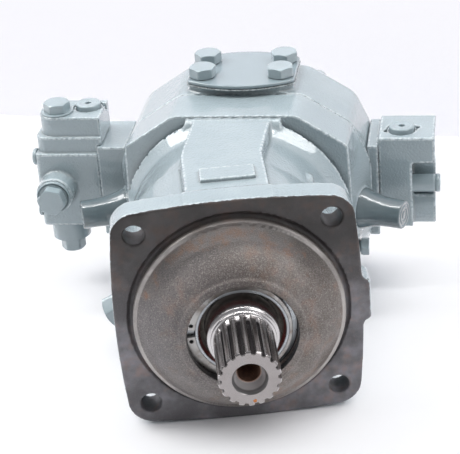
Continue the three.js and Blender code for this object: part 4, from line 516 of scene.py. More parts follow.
class Graph:
    """A node tree that is filled by short calls."""

    def __init__(self, tree: Tree) -> None:
        """Keeps the tree to fill."""
        self.tree = tree

    def fill(self, node: Node, values: dict) -> None:
        """Sets a node's inputs, by name or number, to constants or to the output sockets that feed them."""
        for key, value in values.items():
            socket = node.inputs[key]
            if isinstance(value, Socket):
                self.tree.links.new(value, socket)
            else:
                socket.default_value = (*value, 1.0) if socket.type == "RGBA" else value

    def here(self) -> Socket:
        """The piece's own coordinates, in row metres."""
        return self.add("TexCoord").outputs["Object"]

    def add(self, kind: str, values: Optional[dict] = None, **settings: object) -> Node:
        """Adds a node.

        Args:
            kind: The node's type name without its ShaderNode prefix.
            values: For each input, by name or number, a constant or the output socket that feeds it.
            **settings: Properties of the node.

        Returns:
            The node.
        """
        node = self.tree.nodes.new("ShaderNode" + kind)
        for key, value in settings.items():
            setattr(node, key, value)
        self.fill(node, values or {})
        return node

    def math(self, operation: str, a: object, b: object = 0.0, clamp: bool = False) -> Socket:
        """One sum on two values."""
        return self.add("Math", {0: a, 1: b}, operation=operation, use_clamp=clamp).outputs[0]

    def product(self, first: object, *others: object) -> Socket:
        """Several values multiplied from left to right."""
        for other in others:
            first = self.math("MULTIPLY", first, other)
        return first

    def add_share(self, value: object, extra: object, share: float) -> Socket:
        """A value plus a share of another one."""
        return self.math("ADD", value, self.math("MULTIPLY", extra, share))

    def ramp(self, value: object, low: float, high: float, start: float = 0.0, end: float = 1.0) -> Socket:
        """A value eased from start to end as the input goes from low to high."""
        values = {0: value, 1: low, 2: high, 3: start, 4: end}
        return self.add("MapRange", values, interpolation_type="SMOOTHSTEP").outputs[0]

    def fall(self, value: object, low: float, high: float) -> Socket:
        """A value eased from 1 to 0 as the input goes from low to high."""
        return self.ramp(value, low, high, 1.0, 0.0)

    def band(self, value: object, rise: Span, drop: Span) -> Socket:
        """1 between two soft borders and 0 outside them."""
        return self.product(self.ramp(value, *rise), self.fall(value, *drop))

    def mix(self, share: object, a: object, b: object) -> Socket:
        """Two colours mixed by a share."""
        return self.add("Mix", {0: share, 6: a, 7: b}, data_type="RGBA").outputs[2]

    def blend(self, share: object, a: object, b: object) -> Socket:
        """Two values mixed by a share."""
        return self.add("Mix", {0: share, 2: a, 3: b}).outputs[0]

    def noise(self, vector: object, scale: object, detail: float = 3.0, rough: float = 0.5) -> Socket:
        """Cloudy noise at a scale in cycles a metre."""
        values = {"Vector": vector, "Scale": scale, "Detail": detail, "Roughness": rough}
        return self.add("TexNoise", values).outputs[0]

    def stretched(self, vector: object, factors: Triple) -> Socket:
        """A vector with each coordinate multiplied, which draws a pattern out where the factor is small."""
        return self.add("VectorMath", {0: vector, 1: factors}, operation="MULTIPLY").outputs[0]

    def group(self, tree: Tree, values: dict) -> Node:
        """A shared group with its own values."""
        node = self.tree.nodes.new("ShaderNodeGroup")
        node.node_tree = tree
        self.fill(node, values)
        return node

    def bumped(self, height: object, depth: float) -> Socket:
        """The normal of a surface that a height roughens, with a depth in metres."""
        return self.add("Bump", {"Distance": depth, "Strength": 1.0, "Height": height}).outputs[0]

    def coat(self, shader: Node, film: Node, depth: float) -> None:
        """Feeds a shader from a group's colour, roughness and height."""
        values = {"Base Color": film.outputs["Colour"], "Roughness": film.outputs["Roughness"]}
        self.fill(shader, {**values, "Normal": self.bumped(film.outputs["Height"], depth)})


@dataclass(frozen=True)
class Around:
    """Where a shaded point lies about an axis along y: its coordinates, its offsets and its radius, in metres."""

    here: Socket
    x: Socket
    along: Socket
    z: Socket
    radius: Socket


def length_of(g: Graph, a: object, b: object) -> Socket:
    """The length of a vector of two parts."""
    return g.math("SQRT", g.math("ADD", g.math("MULTIPLY", a, a), g.math("MULTIPLY", b, b)))


def about_axis(g: Graph, origin: Triple) -> Around:
    """The sockets that tell where a shaded point lies about the axis through an origin."""
    here = g.here()
    split = g.add("SeparateXYZ", {0: here})
    x, along, z = (g.math("SUBTRACT", split.outputs[i], origin[i]) for i in range(3))
    return Around(here, x, along, z, length_of(g, x, z))


class FilmGroup:
    """A node group under construction that puts out a colour, a roughness and a height."""

    def __init__(self, name: str, inputs: dict[str, object]) -> None:
        """Opens the group with named sockets.

        Args:
            name: The group's name.
            inputs: For each input its default value: a number or a colour.
        """
        self.tree = bpy.data.node_groups.new(name, "ShaderNodeTree")
        for label, value in inputs.items():
            kind = "Color" if isinstance(value, tuple) else "Float"
            socket = self.tree.interface.new_socket(label, in_out="INPUT", socket_type="NodeSocket" + kind)
            socket.default_value = (*value, 1.0) if isinstance(value, tuple) else value
        for label, kind in (("Colour", "Color"), ("Roughness", "Float"), ("Height", "Float")):
            self.tree.interface.new_socket(label, in_out="OUTPUT", socket_type="NodeSocket" + kind)
        self.graph = Graph(self.tree)
        self.at = {socket.name: socket for socket in self.tree.nodes.new("NodeGroupInput").outputs}
        self.end = self.tree.nodes.new("NodeGroupOutput")

    def close(self, colour: object, rough: object, height: object) -> Tree:
        """Links the three outputs and hands over the group."""
        self.graph.fill(self.end, {"Colour": colour, "Roughness": rough, "Height": height})
        return self.tree


class Groups:
    """The shader node groups that several finishes share, built once."""

    def __init__(self) -> None:
        """Builds the groups."""
        self.paint = self.build_paint()
        self.iron = self.build_iron()
        self.steel = self.build_steel()

    def build_paint(self) -> Tree:
        """Sprayed gloss paint: slow colour drift, painted shade in hollows, painted highlights and chips on edges,
        orange peel and grain.
        """
        group = FilmGroup(
            "Paint film",
            {
                "Colour": (0.3, 0.34, 0.35),
                "Chip Colour": (0.06, 0.055, 0.05),
                "Drift": 0.1, "Peel": 1.0, "Peel Scale": 700.0, "Grain": 0.0, "Grain Scale": 260.0,
                "Chips": 0.0, "Glint": 0.42, "Gloss": 0.16,
            },
        )
        g, at = group.graph, group.at
        here = g.here()
        edge, hollow = (g.add("Attribute", attribute_name=name).outputs["Fac"] for name in ("edge", "hollow"))
        slow = g.noise(here, 22.0, 3.0)
        fine = g.noise(here, 420.0, 2.0)
        peel = g.noise(here, at["Peel Scale"], 1.0)
        grain = g.noise(here, at["Grain Scale"], 4.0, 0.62)
        torn = g.noise(here, 300.0, 4.0, 0.7)
        # Painted shade: inner corners, found from the surface's curving, are darkened.
        colour = g.mix(g.product(hollow, 0.35), at["Colour"], (0.12, 0.14, 0.145))
        colour = g.mix(g.product(g.ramp(slow, 0.35, 0.7), at["Drift"]), colour, (0.62, 0.68, 0.7))
        colour = g.mix(g.product(g.ramp(fine, 0.6, 0.78), 0.12), colour, (0.2, 0.2, 0.2))
        # Painted highlight: a pale colour along outer edges, where a lamp would glint.
        glint = g.product(g.ramp(edge, 0.15, 0.75), g.ramp(fine, 0.34, 0.62, 0.1, 1.0), at["Glint"])
        colour = g.mix(glint, colour, (0.74, 0.8, 0.83))
        bare = g.product(g.ramp(g.add_share(torn, edge, 0.35), 0.86, 0.92), at["Chips"])
        colour = g.mix(bare, colour, at["Chip Colour"])
        rough = g.add_share(at["Gloss"], g.ramp(slow, 0.3, 0.8), 0.1)
        rough = g.add_share(rough, bare, 0.3)
        height = g.math("ADD", g.product(peel, at["Peel"]), g.product(grain, at["Grain"]))
        height = g.math("SUBTRACT", height, g.product(bare, 0.6))
        return group.close(colour, rough, height)

    def build_iron(self) -> Tree:
        """Bare oiled cast iron: brown and grey blotches, fine speckle, rust bloom and shot-blasted grain."""
        group = FilmGroup(
            "Oiled iron",
            {
                "Colour": (0.12, 0.1, 0.088),
                "Blotch Colour": (0.2, 0.18, 0.165),
                "Rust Colour": (0.28, 0.11, 0.045),
                "Blotches": 1.0, "Speckle": 0.5, "Rust": 0.2, "Grain": 0.6, "Gloss": 0.38,
            },
        )
        g, at = group.graph, group.at
        here = g.here()
        slow = g.noise(here, 26.0, 4.0, 0.6)
        middle = g.noise(here, 110.0, 4.0, 0.6)
        fine = g.noise(here, 1150.0, 2.0, 0.6)
        dots = g.noise(here, 1500.0, 1.0)
        colour = g.mix(g.product(g.ramp(slow, 0.4, 0.68), at["Blotches"]), at["Colour"], at["Blotch Colour"])
        rust = g.product(g.ramp(g.product(middle, slow), 0.24, 0.4), at["Rust"])
        colour = g.mix(rust, colour, at["Rust Colour"])
        speckle = g.product(g.ramp(fine, 0.47, 0.7), at["Speckle"])
        colour = g.mix(speckle, colour, (0.34, 0.31, 0.285))
        pits = g.product(g.ramp(dots, 0.56, 0.72), g.product(at["Speckle"], 0.8))
        colour = g.mix(pits, colour, (0.03, 0.026, 0.022))
        rough = g.add_share(at["Gloss"], g.ramp(middle, 0.3, 0.75), 0.2)
        height = g.product(g.add_share(fine, middle, 0.6), at["Grain"])
        return group.close(colour, rough, height)

    def build_steel(self) -> Tree:
        """Worked steel: turning or drawing lines, oil film, faint stains and scattered rust."""
        group = FilmGroup(
            "Worked steel",
            {
                "Colour": (0.5, 0.47, 0.45),
                "Oil Colour": (0.16, 0.13, 0.11),
                "Rust Colour": (0.4, 0.13, 0.03),
                "Oil": 0.4, "Rust": 0.1, "Lines": 0.4, "Line Scale": 900.0, "Gloss": 0.28,
            },
        )
        g, at = group.graph, group.at
        here = g.here()
        slow = g.noise(here, 60.0, 4.0, 0.6)
        spots = g.noise(here, 260.0, 3.0, 0.6)
        lines = g.noise(g.stretched(here, (0.12, 1.0, 0.12)), at["Line Scale"], 2.0)
        colour = g.mix(g.product(g.ramp(slow, 0.42, 0.66), at["Oil"]), at["Colour"], at["Oil Colour"])
        rust = g.product(g.ramp(spots, 0.66, 0.74), at["Rust"])
        colour = g.mix(rust, colour, at["Rust Colour"])
        rough = g.add_share(at["Gloss"], g.math("SUBTRACT", lines, 0.4), 0.3)
        rough = g.add_share(rough, rust, 0.4)
        height = g.add_share(g.product(lines, at["Lines"]), rust, 0.4)
        return group.close(colour, rough, height)


def new_material(name: str) -> tuple[Material, Graph]:
    """An empty material and its graph."""
    material = bpy.data.materials.new(name)
    material.use_nodes = True
    material.node_tree.nodes.clear()
    return material, Graph(material.node_tree)


def shaded_material(name: str) -> tuple[Material, Graph, Node]:
    """A new material, its graph and its Principled shader, which is linked to the output."""
    material, g = new_material(name)
    shader = g.add("BsdfPrincipled")
    g.add("OutputMaterial", {0: shader.outputs[0]})
    return material, g, shader


def film_values(finish: object, *names: str) -> dict[str, object]:
    """A finish's colour and some of its numbers, under the names of a group's inputs."""
    numbers = {name.replace("_", " ").title(): getattr(finish, name) for name in names}
    return {"Colour": finish.colour, **numbers}


@dataclass(frozen=True)
class PaintFinish:
    """Grey-green gloss paint, as smooth or as grainy as what is under it."""

    name: str
    colour: Colour = (0.285, 0.352, 0.375)
    drift: float = 0.12
    peel: float = 0.5
    grain: float = 0.0
    grain_scale: float = 260.0
    chips: float = 0.25
    # How strong the painted highlight along outer edges is.
    glint: float = 0.42
    gloss: float = 0.1
    coat_roughness: float = 0.03
    depth: float = 0.0004

    def build(self, groups: Groups) -> Material:
        """The finish as a material."""
        material, g, shader = shaded_material(self.name)
        values = film_values(self, "drift", "peel", "grain", "grain_scale", "chips", "glint", "gloss")
        g.coat(shader, g.group(groups.paint, values), self.depth)
        g.fill(shader, {"Coat Weight": 1.0, "Coat Roughness": self.coat_roughness})
        return material


@dataclass(frozen=True)
class SteelFinish:
    """Bare worked metal with oil and a little rust."""

    name: str
    colour: Colour = (0.5, 0.47, 0.45)
    oil: float = 0.4
    rust: float = 0.1
    lines: float = 0.4
    line_scale: float = 900.0
    gloss: float = 0.28
    depth: float = 0.0001

    def build(self, groups: Groups) -> Material:
        """The finish as a material."""
        material, g, shader = shaded_material(self.name)
        values = film_values(self, "oil", "rust", "lines", "line_scale", "gloss")
        g.coat(shader, g.group(groups.steel, values), self.depth)
        g.fill(shader, {"Metallic": 0.95})
        return material


@dataclass(frozen=True)
class ShaftFinish:
    """The drive shaft: a dark end face, bright drawn lands, near-black painted shade between the teeth and rust in the
    thread.

    Each span holds the two ends of a soft border, as a radius or as a depth behind the end face.
    """

    name: str
    end: Triple
    face_depth: Span = (0.0003, 0.0012)
    teeth_start: Span = (0.0006, 0.0016)
    teeth_end: Span = (0.043, 0.0452)
    teeth_radius: Span = (0.0112, 0.0118)
    gap_rise: Span = (0.0135, 0.0145)
    gap_drop: Span = (0.0180, 0.0189)
    thread_start: Span = (0.0085, 0.0095)
    thread_radius: Span = (0.0092, 0.0099)
    thread_lines: float = 4200.0
    recess_rise: Span = (0.0096, 0.0101)
    recess_drop: Span = (0.0109, 0.0114)
    spot_from_end: Triple = (0.0022, 0.0, -0.0158)
    spot_radius: Span = (0.0013, 0.0019)
    steel: Colour = (0.62, 0.6, 0.6)
    face_steel: Colour = (0.36, 0.335, 0.33)
    streak: Colour = (0.13, 0.11, 0.105)
    # Near-black of the painted shade in the gaps between the teeth.
    oil: Colour = (0.016, 0.014, 0.015)
    rust: Colour = (0.5, 0.17, 0.04)
    thread_rust: tuple[Colour, Colour] = ((0.6, 0.36, 0.24), (0.22, 0.13, 0.1))
    # Dark colour of the painted shade in the thread's roots.
    thread_root: Colour = (0.03, 0.02, 0.018)
    # Dark greys of the painted shade on the walls of the centre hole's mouth.
    recess: tuple[Colour, Colour] = ((0.05, 0.048, 0.048), (0.2, 0.2, 0.2))

    def build(self, groups: Groups) -> Material:
        """The finish as a material."""
        material, g, shader = shaded_material(self.name)
        at = about_axis(g, self.end)
        toothed = g.product(
            g.band(at.along, self.teeth_start, self.teeth_end), g.ramp(at.radius, *self.teeth_radius)
        )
        streaks = g.noise(g.stretched(at.here, (1.0, 0.03, 1.0)), 520.0, 2.0, 0.6)
        polar = g.add("CombineXYZ", {0: at.radius, 1: at.along}).outputs[0]
        worked = g.blend(toothed, g.noise(polar, 1700.0, 2.0, 0.6), streaks)
        face = g.fall(at.along, *self.face_depth)
        base = g.mix(face, self.steel, self.face_steel)
        film = {"Colour": base, "Oil": 0.12, "Rust": 0.03, "Lines": 0.0, "Gloss": 0.2}
        colour = g.group(groups.steel, film).outputs["Colour"]
        shade = g.product(g.ramp(streaks, 0.42, 0.56, 0.75, 0.0), toothed)
        colour = g.mix(shade, colour, self.streak)
        # Painted shade: the gaps between the teeth are made near-black.
        gap = g.product(g.band(at.radius, self.gap_rise, self.gap_drop), toothed)
        colour = g.mix(gap, colour, self.oil)
        deep = g.product(g.fall(at.radius, *self.thread_radius), g.ramp(at.along, *self.thread_start))
        colour = g.mix(deep, colour, self.rusty_thread(g, at))
        spot = self.rust_spot(g, at)
        colour = g.mix(spot, colour, self.rust)
        # Painted shade: the walls of the centre hole's mouth are coloured dark grey instead of steel.
        inside = g.ramp(at.radius, *self.recess_drop, 0.9, 0.0)
        walls = g.product(inside, g.ramp(at.radius, *self.recess_rise))
        colour = g.mix(walls, colour, g.mix(worked, *self.recess))
        rough = g.add_share(0.24, g.math("SUBTRACT", worked, 0.5), 0.12)
        rough = g.add_share(rough, deep, 0.3)
        dull = g.math("MAXIMUM", g.math("MAXIMUM", gap, spot), inside)
        metallic = g.math("SUBTRACT", 0.95, g.product(dull, 0.75))
        g.fill(shader, {"Base Color": colour, "Roughness": rough, "Metallic": metallic})
        return material

    def rusty_thread(self, g: Graph, at: Around) -> Socket:
        """Two rust tones in clouds, with a dark line of painted shade at each root of the thread."""
        rusty = g.mix(g.noise(at.here, 500.0, 3.0), *self.thread_rust)
        wave = g.math("SINE", g.product(at.along, self.thread_lines))
        return g.mix(g.ramp(wave, -0.3, 0.6, 0.8, 0.0), rusty, self.thread_root)

    def rust_spot(self, g: Graph, at: Around) -> Socket:
        """One ragged spot of rust low on the end face: the distance from its middle, stirred by noise."""
        middle = tuple(a + b for a, b in zip(self.end, self.spot_from_end))
        away = g.add("VectorMath", {0: at.here, 1: middle}, operation="DISTANCE").outputs[1]
        return g.fall(g.add_share(away, g.noise(at.here, 900.0), 0.001), *self.spot_radius)


@dataclass(frozen=True)
class SealFinish:
    """The shaft seal: an olive-grey oily cup, a dark red ring round it and a bare metal case as its rim."""

    name: str
    origin: Triple
    red_rise: Span = (0.0270, 0.0273)
    case_rise: Span = (0.0284, 0.0286)
    cup: Colour = (0.15, 0.138, 0.118)
    cup_blotch: Colour = (0.22, 0.205, 0.18)
    red: Colour = (0.15, 0.04, 0.035)
    case: Colour = (0.4, 0.42, 0.44)

    def build(self, groups: Groups) -> Material:
        """The finish as a material."""
        material, g, shader = shaded_material(self.name)
        radius = about_axis(g, self.origin).radius
        oily = {"Colour": self.cup, "Blotch Colour": self.cup_blotch}
        film = g.group(groups.iron, {**oily, "Speckle": 0.05, "Rust": 0.0, "Grain": 0.1, "Gloss": 0.22})
        g.coat(shader, film, 0.0001)
        red = g.band(radius, self.red_rise, self.case_rise)
        case = g.ramp(radius, *self.case_rise)
        colour = g.mix(red, film.outputs["Colour"], self.red)
        colour = g.mix(case, colour, self.case)
        g.fill(shader, {"Base Color": colour, "Metallic": g.product(case, 0.9), "Coat Weight": 0.5})
        return material


@dataclass(frozen=True)
class DriveEndFinish:
    """The front casting: paint behind the flange face, and bare oiled iron on the face and the nose.

    Each span holds the two ends of a soft border, as a radius or as a depth behind the flange face.
    """

    name: str
    paint: PaintFinish
    origin: Triple
    nose_radius: Span = (0.0695, 0.0705)
    bore_radius: Span = (0.0362, 0.0367)
    groove_radius: Span = (0.0738, 0.0746)
    groove_depth: Span = (0.004, 0.005)
    slot_radius: Span = (0.0702, 0.0708)
    hole_half: float = 0.06365
    hole_radius: Span = (0.0076, 0.008)
    hole_depth: Span = (0.0185, 0.0195)
    chip_depth: Span = (0.003, 0.007)
    paint_edge: Span = (-0.0008, -0.0003)
    # Painted light across the nose: lighter on the left, darker and browner on the right.
    nose_painted_light: tuple[Colour, Colour] = ((0.15, 0.138, 0.14), (0.115, 0.093, 0.08))
    nose_blotch: Colour = (0.235, 0.21, 0.195)
    face_shades: tuple[Colour, Colour] = ((0.1, 0.096, 0.103), (0.06, 0.05, 0.046))
    face_blotches: tuple[Colour, Colour] = ((0.27, 0.265, 0.29), (0.17, 0.15, 0.145))
    rust: Colour = (0.33, 0.165, 0.095)
    # Near-black of the painted shade in the bore, the groove and over the top of the nose.
    oil: Colour = (0.022, 0.02, 0.02)
    rim_metal: Colour = (0.5, 0.47, 0.45)

    def build(self, groups: Groups) -> Material:
        """The finish as a material."""
        material, g, shader = shaded_material(self.name)
        at = about_axis(g, self.origin)
        film = film_values(self.paint, "drift", "peel", "grain", "gloss")
        chips = g.ramp(at.along, *self.chip_depth, 1.6, 0.1)
        paint = g.group(groups.paint, {**film, "Chips": chips})
        iron = self.iron(g, groups, at)
        groove = g.product(g.fall(at.radius, *self.groove_radius), g.fall(at.along, *self.groove_depth))
        painted = self.painted(g, at, groove)
        rim = self.bare_rim_and_highlight(g, at)
        # Painted shade: the iron is blackened in the bore, the groove and over the top of the nose.
        bare = g.mix(self.oily(g, at, groove), iron.outputs["Colour"], self.oil)
        bare = g.mix(rim, bare, self.rim_metal)
        rough = g.blend(rim, iron.outputs["Roughness"], 0.34)
        height = g.blend(painted, iron.outputs["Height"], paint.outputs["Height"])
        values = {
            "Base Color": g.mix(painted, bare, paint.outputs["Colour"]),
            "Roughness": g.blend(painted, rough, paint.outputs["Roughness"]),
            "Metallic": g.product(rim, 0.9),
            "Normal": g.bumped(height, self.paint.depth),
            "Coat Weight": painted,
            "Coat Roughness": self.paint.coat_roughness,
        }
        g.fill(shader, values)
        return material

    def iron(self, g: Graph, groups: Groups, at: Around) -> Node:
        """Bare iron that darkens across the nose, as painted light, and up the face, with a rusty arc above the bore.
        """
        nose = g.fall(at.radius, *self.nose_radius)
        across, up = g.ramp(at.x, -0.06, 0.03), g.ramp(at.z, -0.02, 0.085)
        arc = g.product(g.band(at.radius, (0.057, 0.062), (0.064, 0.068)), g.ramp(at.z, 0.0, 0.05))
        nose_base = g.mix(across, *self.nose_painted_light)
        face_base = g.mix(up, *self.face_shades)
        face_blotch = g.mix(up, *self.face_blotches)
        values = {
            "Rust Colour": self.rust,
            "Colour": g.mix(nose, face_base, nose_base),
            "Blotch Colour": g.mix(nose, face_blotch, self.nose_blotch),
            "Speckle": g.ramp(at.radius, *self.nose_radius, 0.75, 0.12),
            "Rust": g.add_share(0.32, arc, 0.9),
            "Grain": g.ramp(at.radius, *self.nose_radius, 0.8, 0.15),
            "Gloss": 0.36,
        }
        return g.group(groups.iron, values)

    def painted(self, g: Graph, at: Around, groove: object) -> Socket:
        """Where paint lies: behind a torn line along the face's edge, but not in the groove and the bolt holes."""
        torn = g.noise(at.here, 240.0, 4.0, 0.65)
        paint = g.ramp(g.add_share(at.along, torn, -0.003), *self.paint_edge)
        off = [g.math("SUBTRACT", g.math("ABSOLUTE", side), self.hole_half) for side in (at.x, at.z)]
        hole = g.fall(length_of(g, *off), *self.hole_radius)
        hole = g.product(hole, g.fall(at.along, *self.hole_depth))
        return g.product(paint, g.math("SUBTRACT", 1.0, g.math("MAXIMUM", groove, hole)))

    def oily(self, g: Graph, at: Around, groove: object) -> Socket:
        """Where painted shade blackens the iron: in the bore, in the groove behind the pilot and over the top of the
        nose.
        """
        slot = g.product(groove, g.ramp(at.radius, *self.slot_radius), 0.4)
        # Painted shade fills the bore and part of the groove.
        oily = g.math("MAXIMUM", g.fall(at.radius, *self.bore_radius), slot)
        # Painted shade over the top of the nose, towards its rim.
        ring = g.product(g.ramp(at.radius, 0.053, 0.064), g.ramp(at.z, 0.01, 0.055), 0.72)
        return g.math("MAXIMUM", oily, ring)

    def bare_rim_and_highlight(self, g: Graph, at: Around) -> Socket:
        """Where the pilot's front rim is bright bare metal, in part a painted highlight: in patches, and least in the
        middle of its top.
        """
        rim = g.band(at.radius, (0.0668, 0.0678), (0.0700, 0.0703))
        front = g.fall(at.along, -0.0045, -0.0040)
        patches = g.ramp(g.noise(at.here, 40.0), 0.35, 0.6, 0.5, 1.0)
        # Painted highlight in part: the bare rim is kept to the sides, where the highlight falls, and left out at the
        # top.
        sides = g.ramp(g.math("ABSOLUTE", at.x), 0.018, 0.042, 0.1, 1.0)
        return g.product(rim, front, patches, sides)


# ---- slots and the bench


class Slot(Enum):
    """The record's material slots."""

    FRONT = "front_casting"
    END = "end_casting"
    COVER = "cover_paint"
    BOLT = "bolt_paint"
    BLOCK = "block_paint"
    PLUG = "plug_paint"
    GASKET = "gasket"
    RING = "ring_steel"
    SEAL = "seal_rubber"
    SHAFT = "shaft_steel"
    BEARING = "bearing_steel"
    ROTOR = "rotor_steel"
    SEGMENT = "segment_bronze"
    SPRING = "spring_steel"


@dataclass(frozen=True)
class Bench:
    """Where the pump is put together: the loaded frame, its two places and the finishes."""

    frame: dict
    shaft: Place
    bent: Place
    finishes: dict[Slot, Material]
    shaded_cap_finish: Material

    def put(
        self, piece: Piece, slot: Slot, node: str, body: str = "housing", finish: Optional[Material] = None
    ) -> None:
        """Gives a new piece its finish and its body, hides the CAD node that it stands for, and reports it.

        Args:
            piece: The new piece.
            slot: Its material slot in the record.
            node: The CAD node that it stands for.
            body: The body that it rides on.
            finish: A finish of its own, or None for that of its slot.
        """
        piece.data.materials.append(finish or self.finishes[slot])
        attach(piece, body)
        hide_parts(node)
        LOG.info("%s: %d faces", piece.name, len(piece.data.polygons))

    def nearest(self, start: str, point: Sequence[float]) -> str:
        """The CAD node of a kind whose box has its middle nearest to a point of the bent frame."""
        target = self.bent.out(np.array(point, float)[None])[0]
        names = [name for name in self.frame["nodes"] if name.startswith(start)]
        return min(names, key=lambda name: float(np.linalg.norm(np.mean(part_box(name), axis=0) - target)))


def axis_point(shaft: Place, along: float = 0.0) -> Triple:
    """A point on the shaft's axis in row metres, for the finishes that follow it."""
    x, y, z = (float(c) for c in shaft.out(np.array([[0.0, along, 0.0]]))[0])
    return x, y, z


def make_finishes(groups: Groups, shaft: Place) -> dict[Slot, Material]:
    """The finish of every slot."""
    origin = axis_point(shaft)
    recipes = {
        Slot.FRONT: DriveEndFinish("drive_end", PaintFinish("drive_end_paint", peel=1.3, grain=0.5), origin),
        Slot.END: PaintFinish("cast_paint", peel=1.1, grain=1.3, grain_scale=170.0),
        Slot.COVER: PaintFinish("cover_paint", (0.24, 0.3, 0.325), drift=0.03, peel=0.2, chips=0.0, glint=0.0),
        Slot.BOLT: PaintFinish("bolt_paint", peel=0.4),
        Slot.BLOCK: PaintFinish("block_paint", peel=1.3, grain=0.4),
        Slot.PLUG: PaintFinish("plug_paint", peel=0.4),
        Slot.GASKET: PaintFinish("gasket_sheet", (0.13, 0.16, 0.165), gloss=0.45),
        Slot.RING: SteelFinish("ring_steel", (0.42, 0.41, 0.4), oil=0.8),
        Slot.SEAL: SealFinish("seal_rubber", origin),
        Slot.SHAFT: ShaftFinish("shaft_steel", axis_point(shaft, DriveShaft.end)),
        Slot.BEARING: SteelFinish("bearing_steel", (0.55, 0.55, 0.56), oil=0.1, rust=0.0),
        Slot.ROTOR: SteelFinish("rotor_steel", (0.42, 0.41, 0.41), oil=0.3, rust=0.0),
        Slot.SEGMENT: SteelFinish("segment_bronze", (0.55, 0.36, 0.15), oil=0.2, rust=0.0),
        Slot.SPRING: SteelFinish("spring_steel", (0.4, 0.41, 0.42), oil=0.2, rust=0.0),
    }
    return {slot: recipe.build(groups) for slot, recipe in recipes.items()}


# ---- castings


def section(b: Points, side: Array, round_over: float) -> Array:
    """The outline of the swivel housing: the largest of its top, shoulder, flank and side planes.

    Args:
        b: Points in the bent frame.
        side: The half-width at the sides for each point.
        round_over: The width over which the edges are rounded.

    Returns:
        The distance to the outline.
    """
    top, shoulder_x, shoulder_z, shoulder = 82.2, 0.5431, 0.8397, 93.05
    flank_start, flank_height, side_at_top = 28.0, 29.0, 80.6
    x, z = np.abs(b.x), np.abs(b.z)
    lean = (side - side_at_top) / flank_height
    flank = (x - side + lean * (z - flank_start)) / np.sqrt(1 + lean * lean)
    upper = meet(z - top, shoulder_x * x + shoulder_z * z - shoulder, round_over)
    return meet(upper, meet(flank, x - side, round_over), round_over)


def stop_rod(b: Points, side: int, radius: float, start: float, end: float, edge: float = 0.5) -> Array:
    """A round bar along a stop screw's line, which touches a circle about the pivot.

    Args:
        b: Points in the bent frame.
        side: -1 for the left stop, 1 for the right one.
        radius: The bar's radius.
        start: Where it starts along the line.
        end: Where it ends along the line.
        edge: The radius along its end edges.

    Returns:
        The distance to the bar.
    """
    c, s = math.cos(STOP_ANGLE), math.sin(STOP_ANGLE)
    x, y = side * b.x - STOP_CIRCLE * s, b.y - STOP_CIRCLE * c
    return rod(np.hypot(x * s + y * c, b.z), x * c - y * s, radius, start, end, edge)


def joint_bolts(b: Points) -> Array:
    """How far points lie from the nearest of the four bolts between the housings."""
    return np.hypot(np.abs(b.x) - JOINT_BOLT_XZ[0], np.abs(b.z) - JOINT_BOLT_XZ[1])


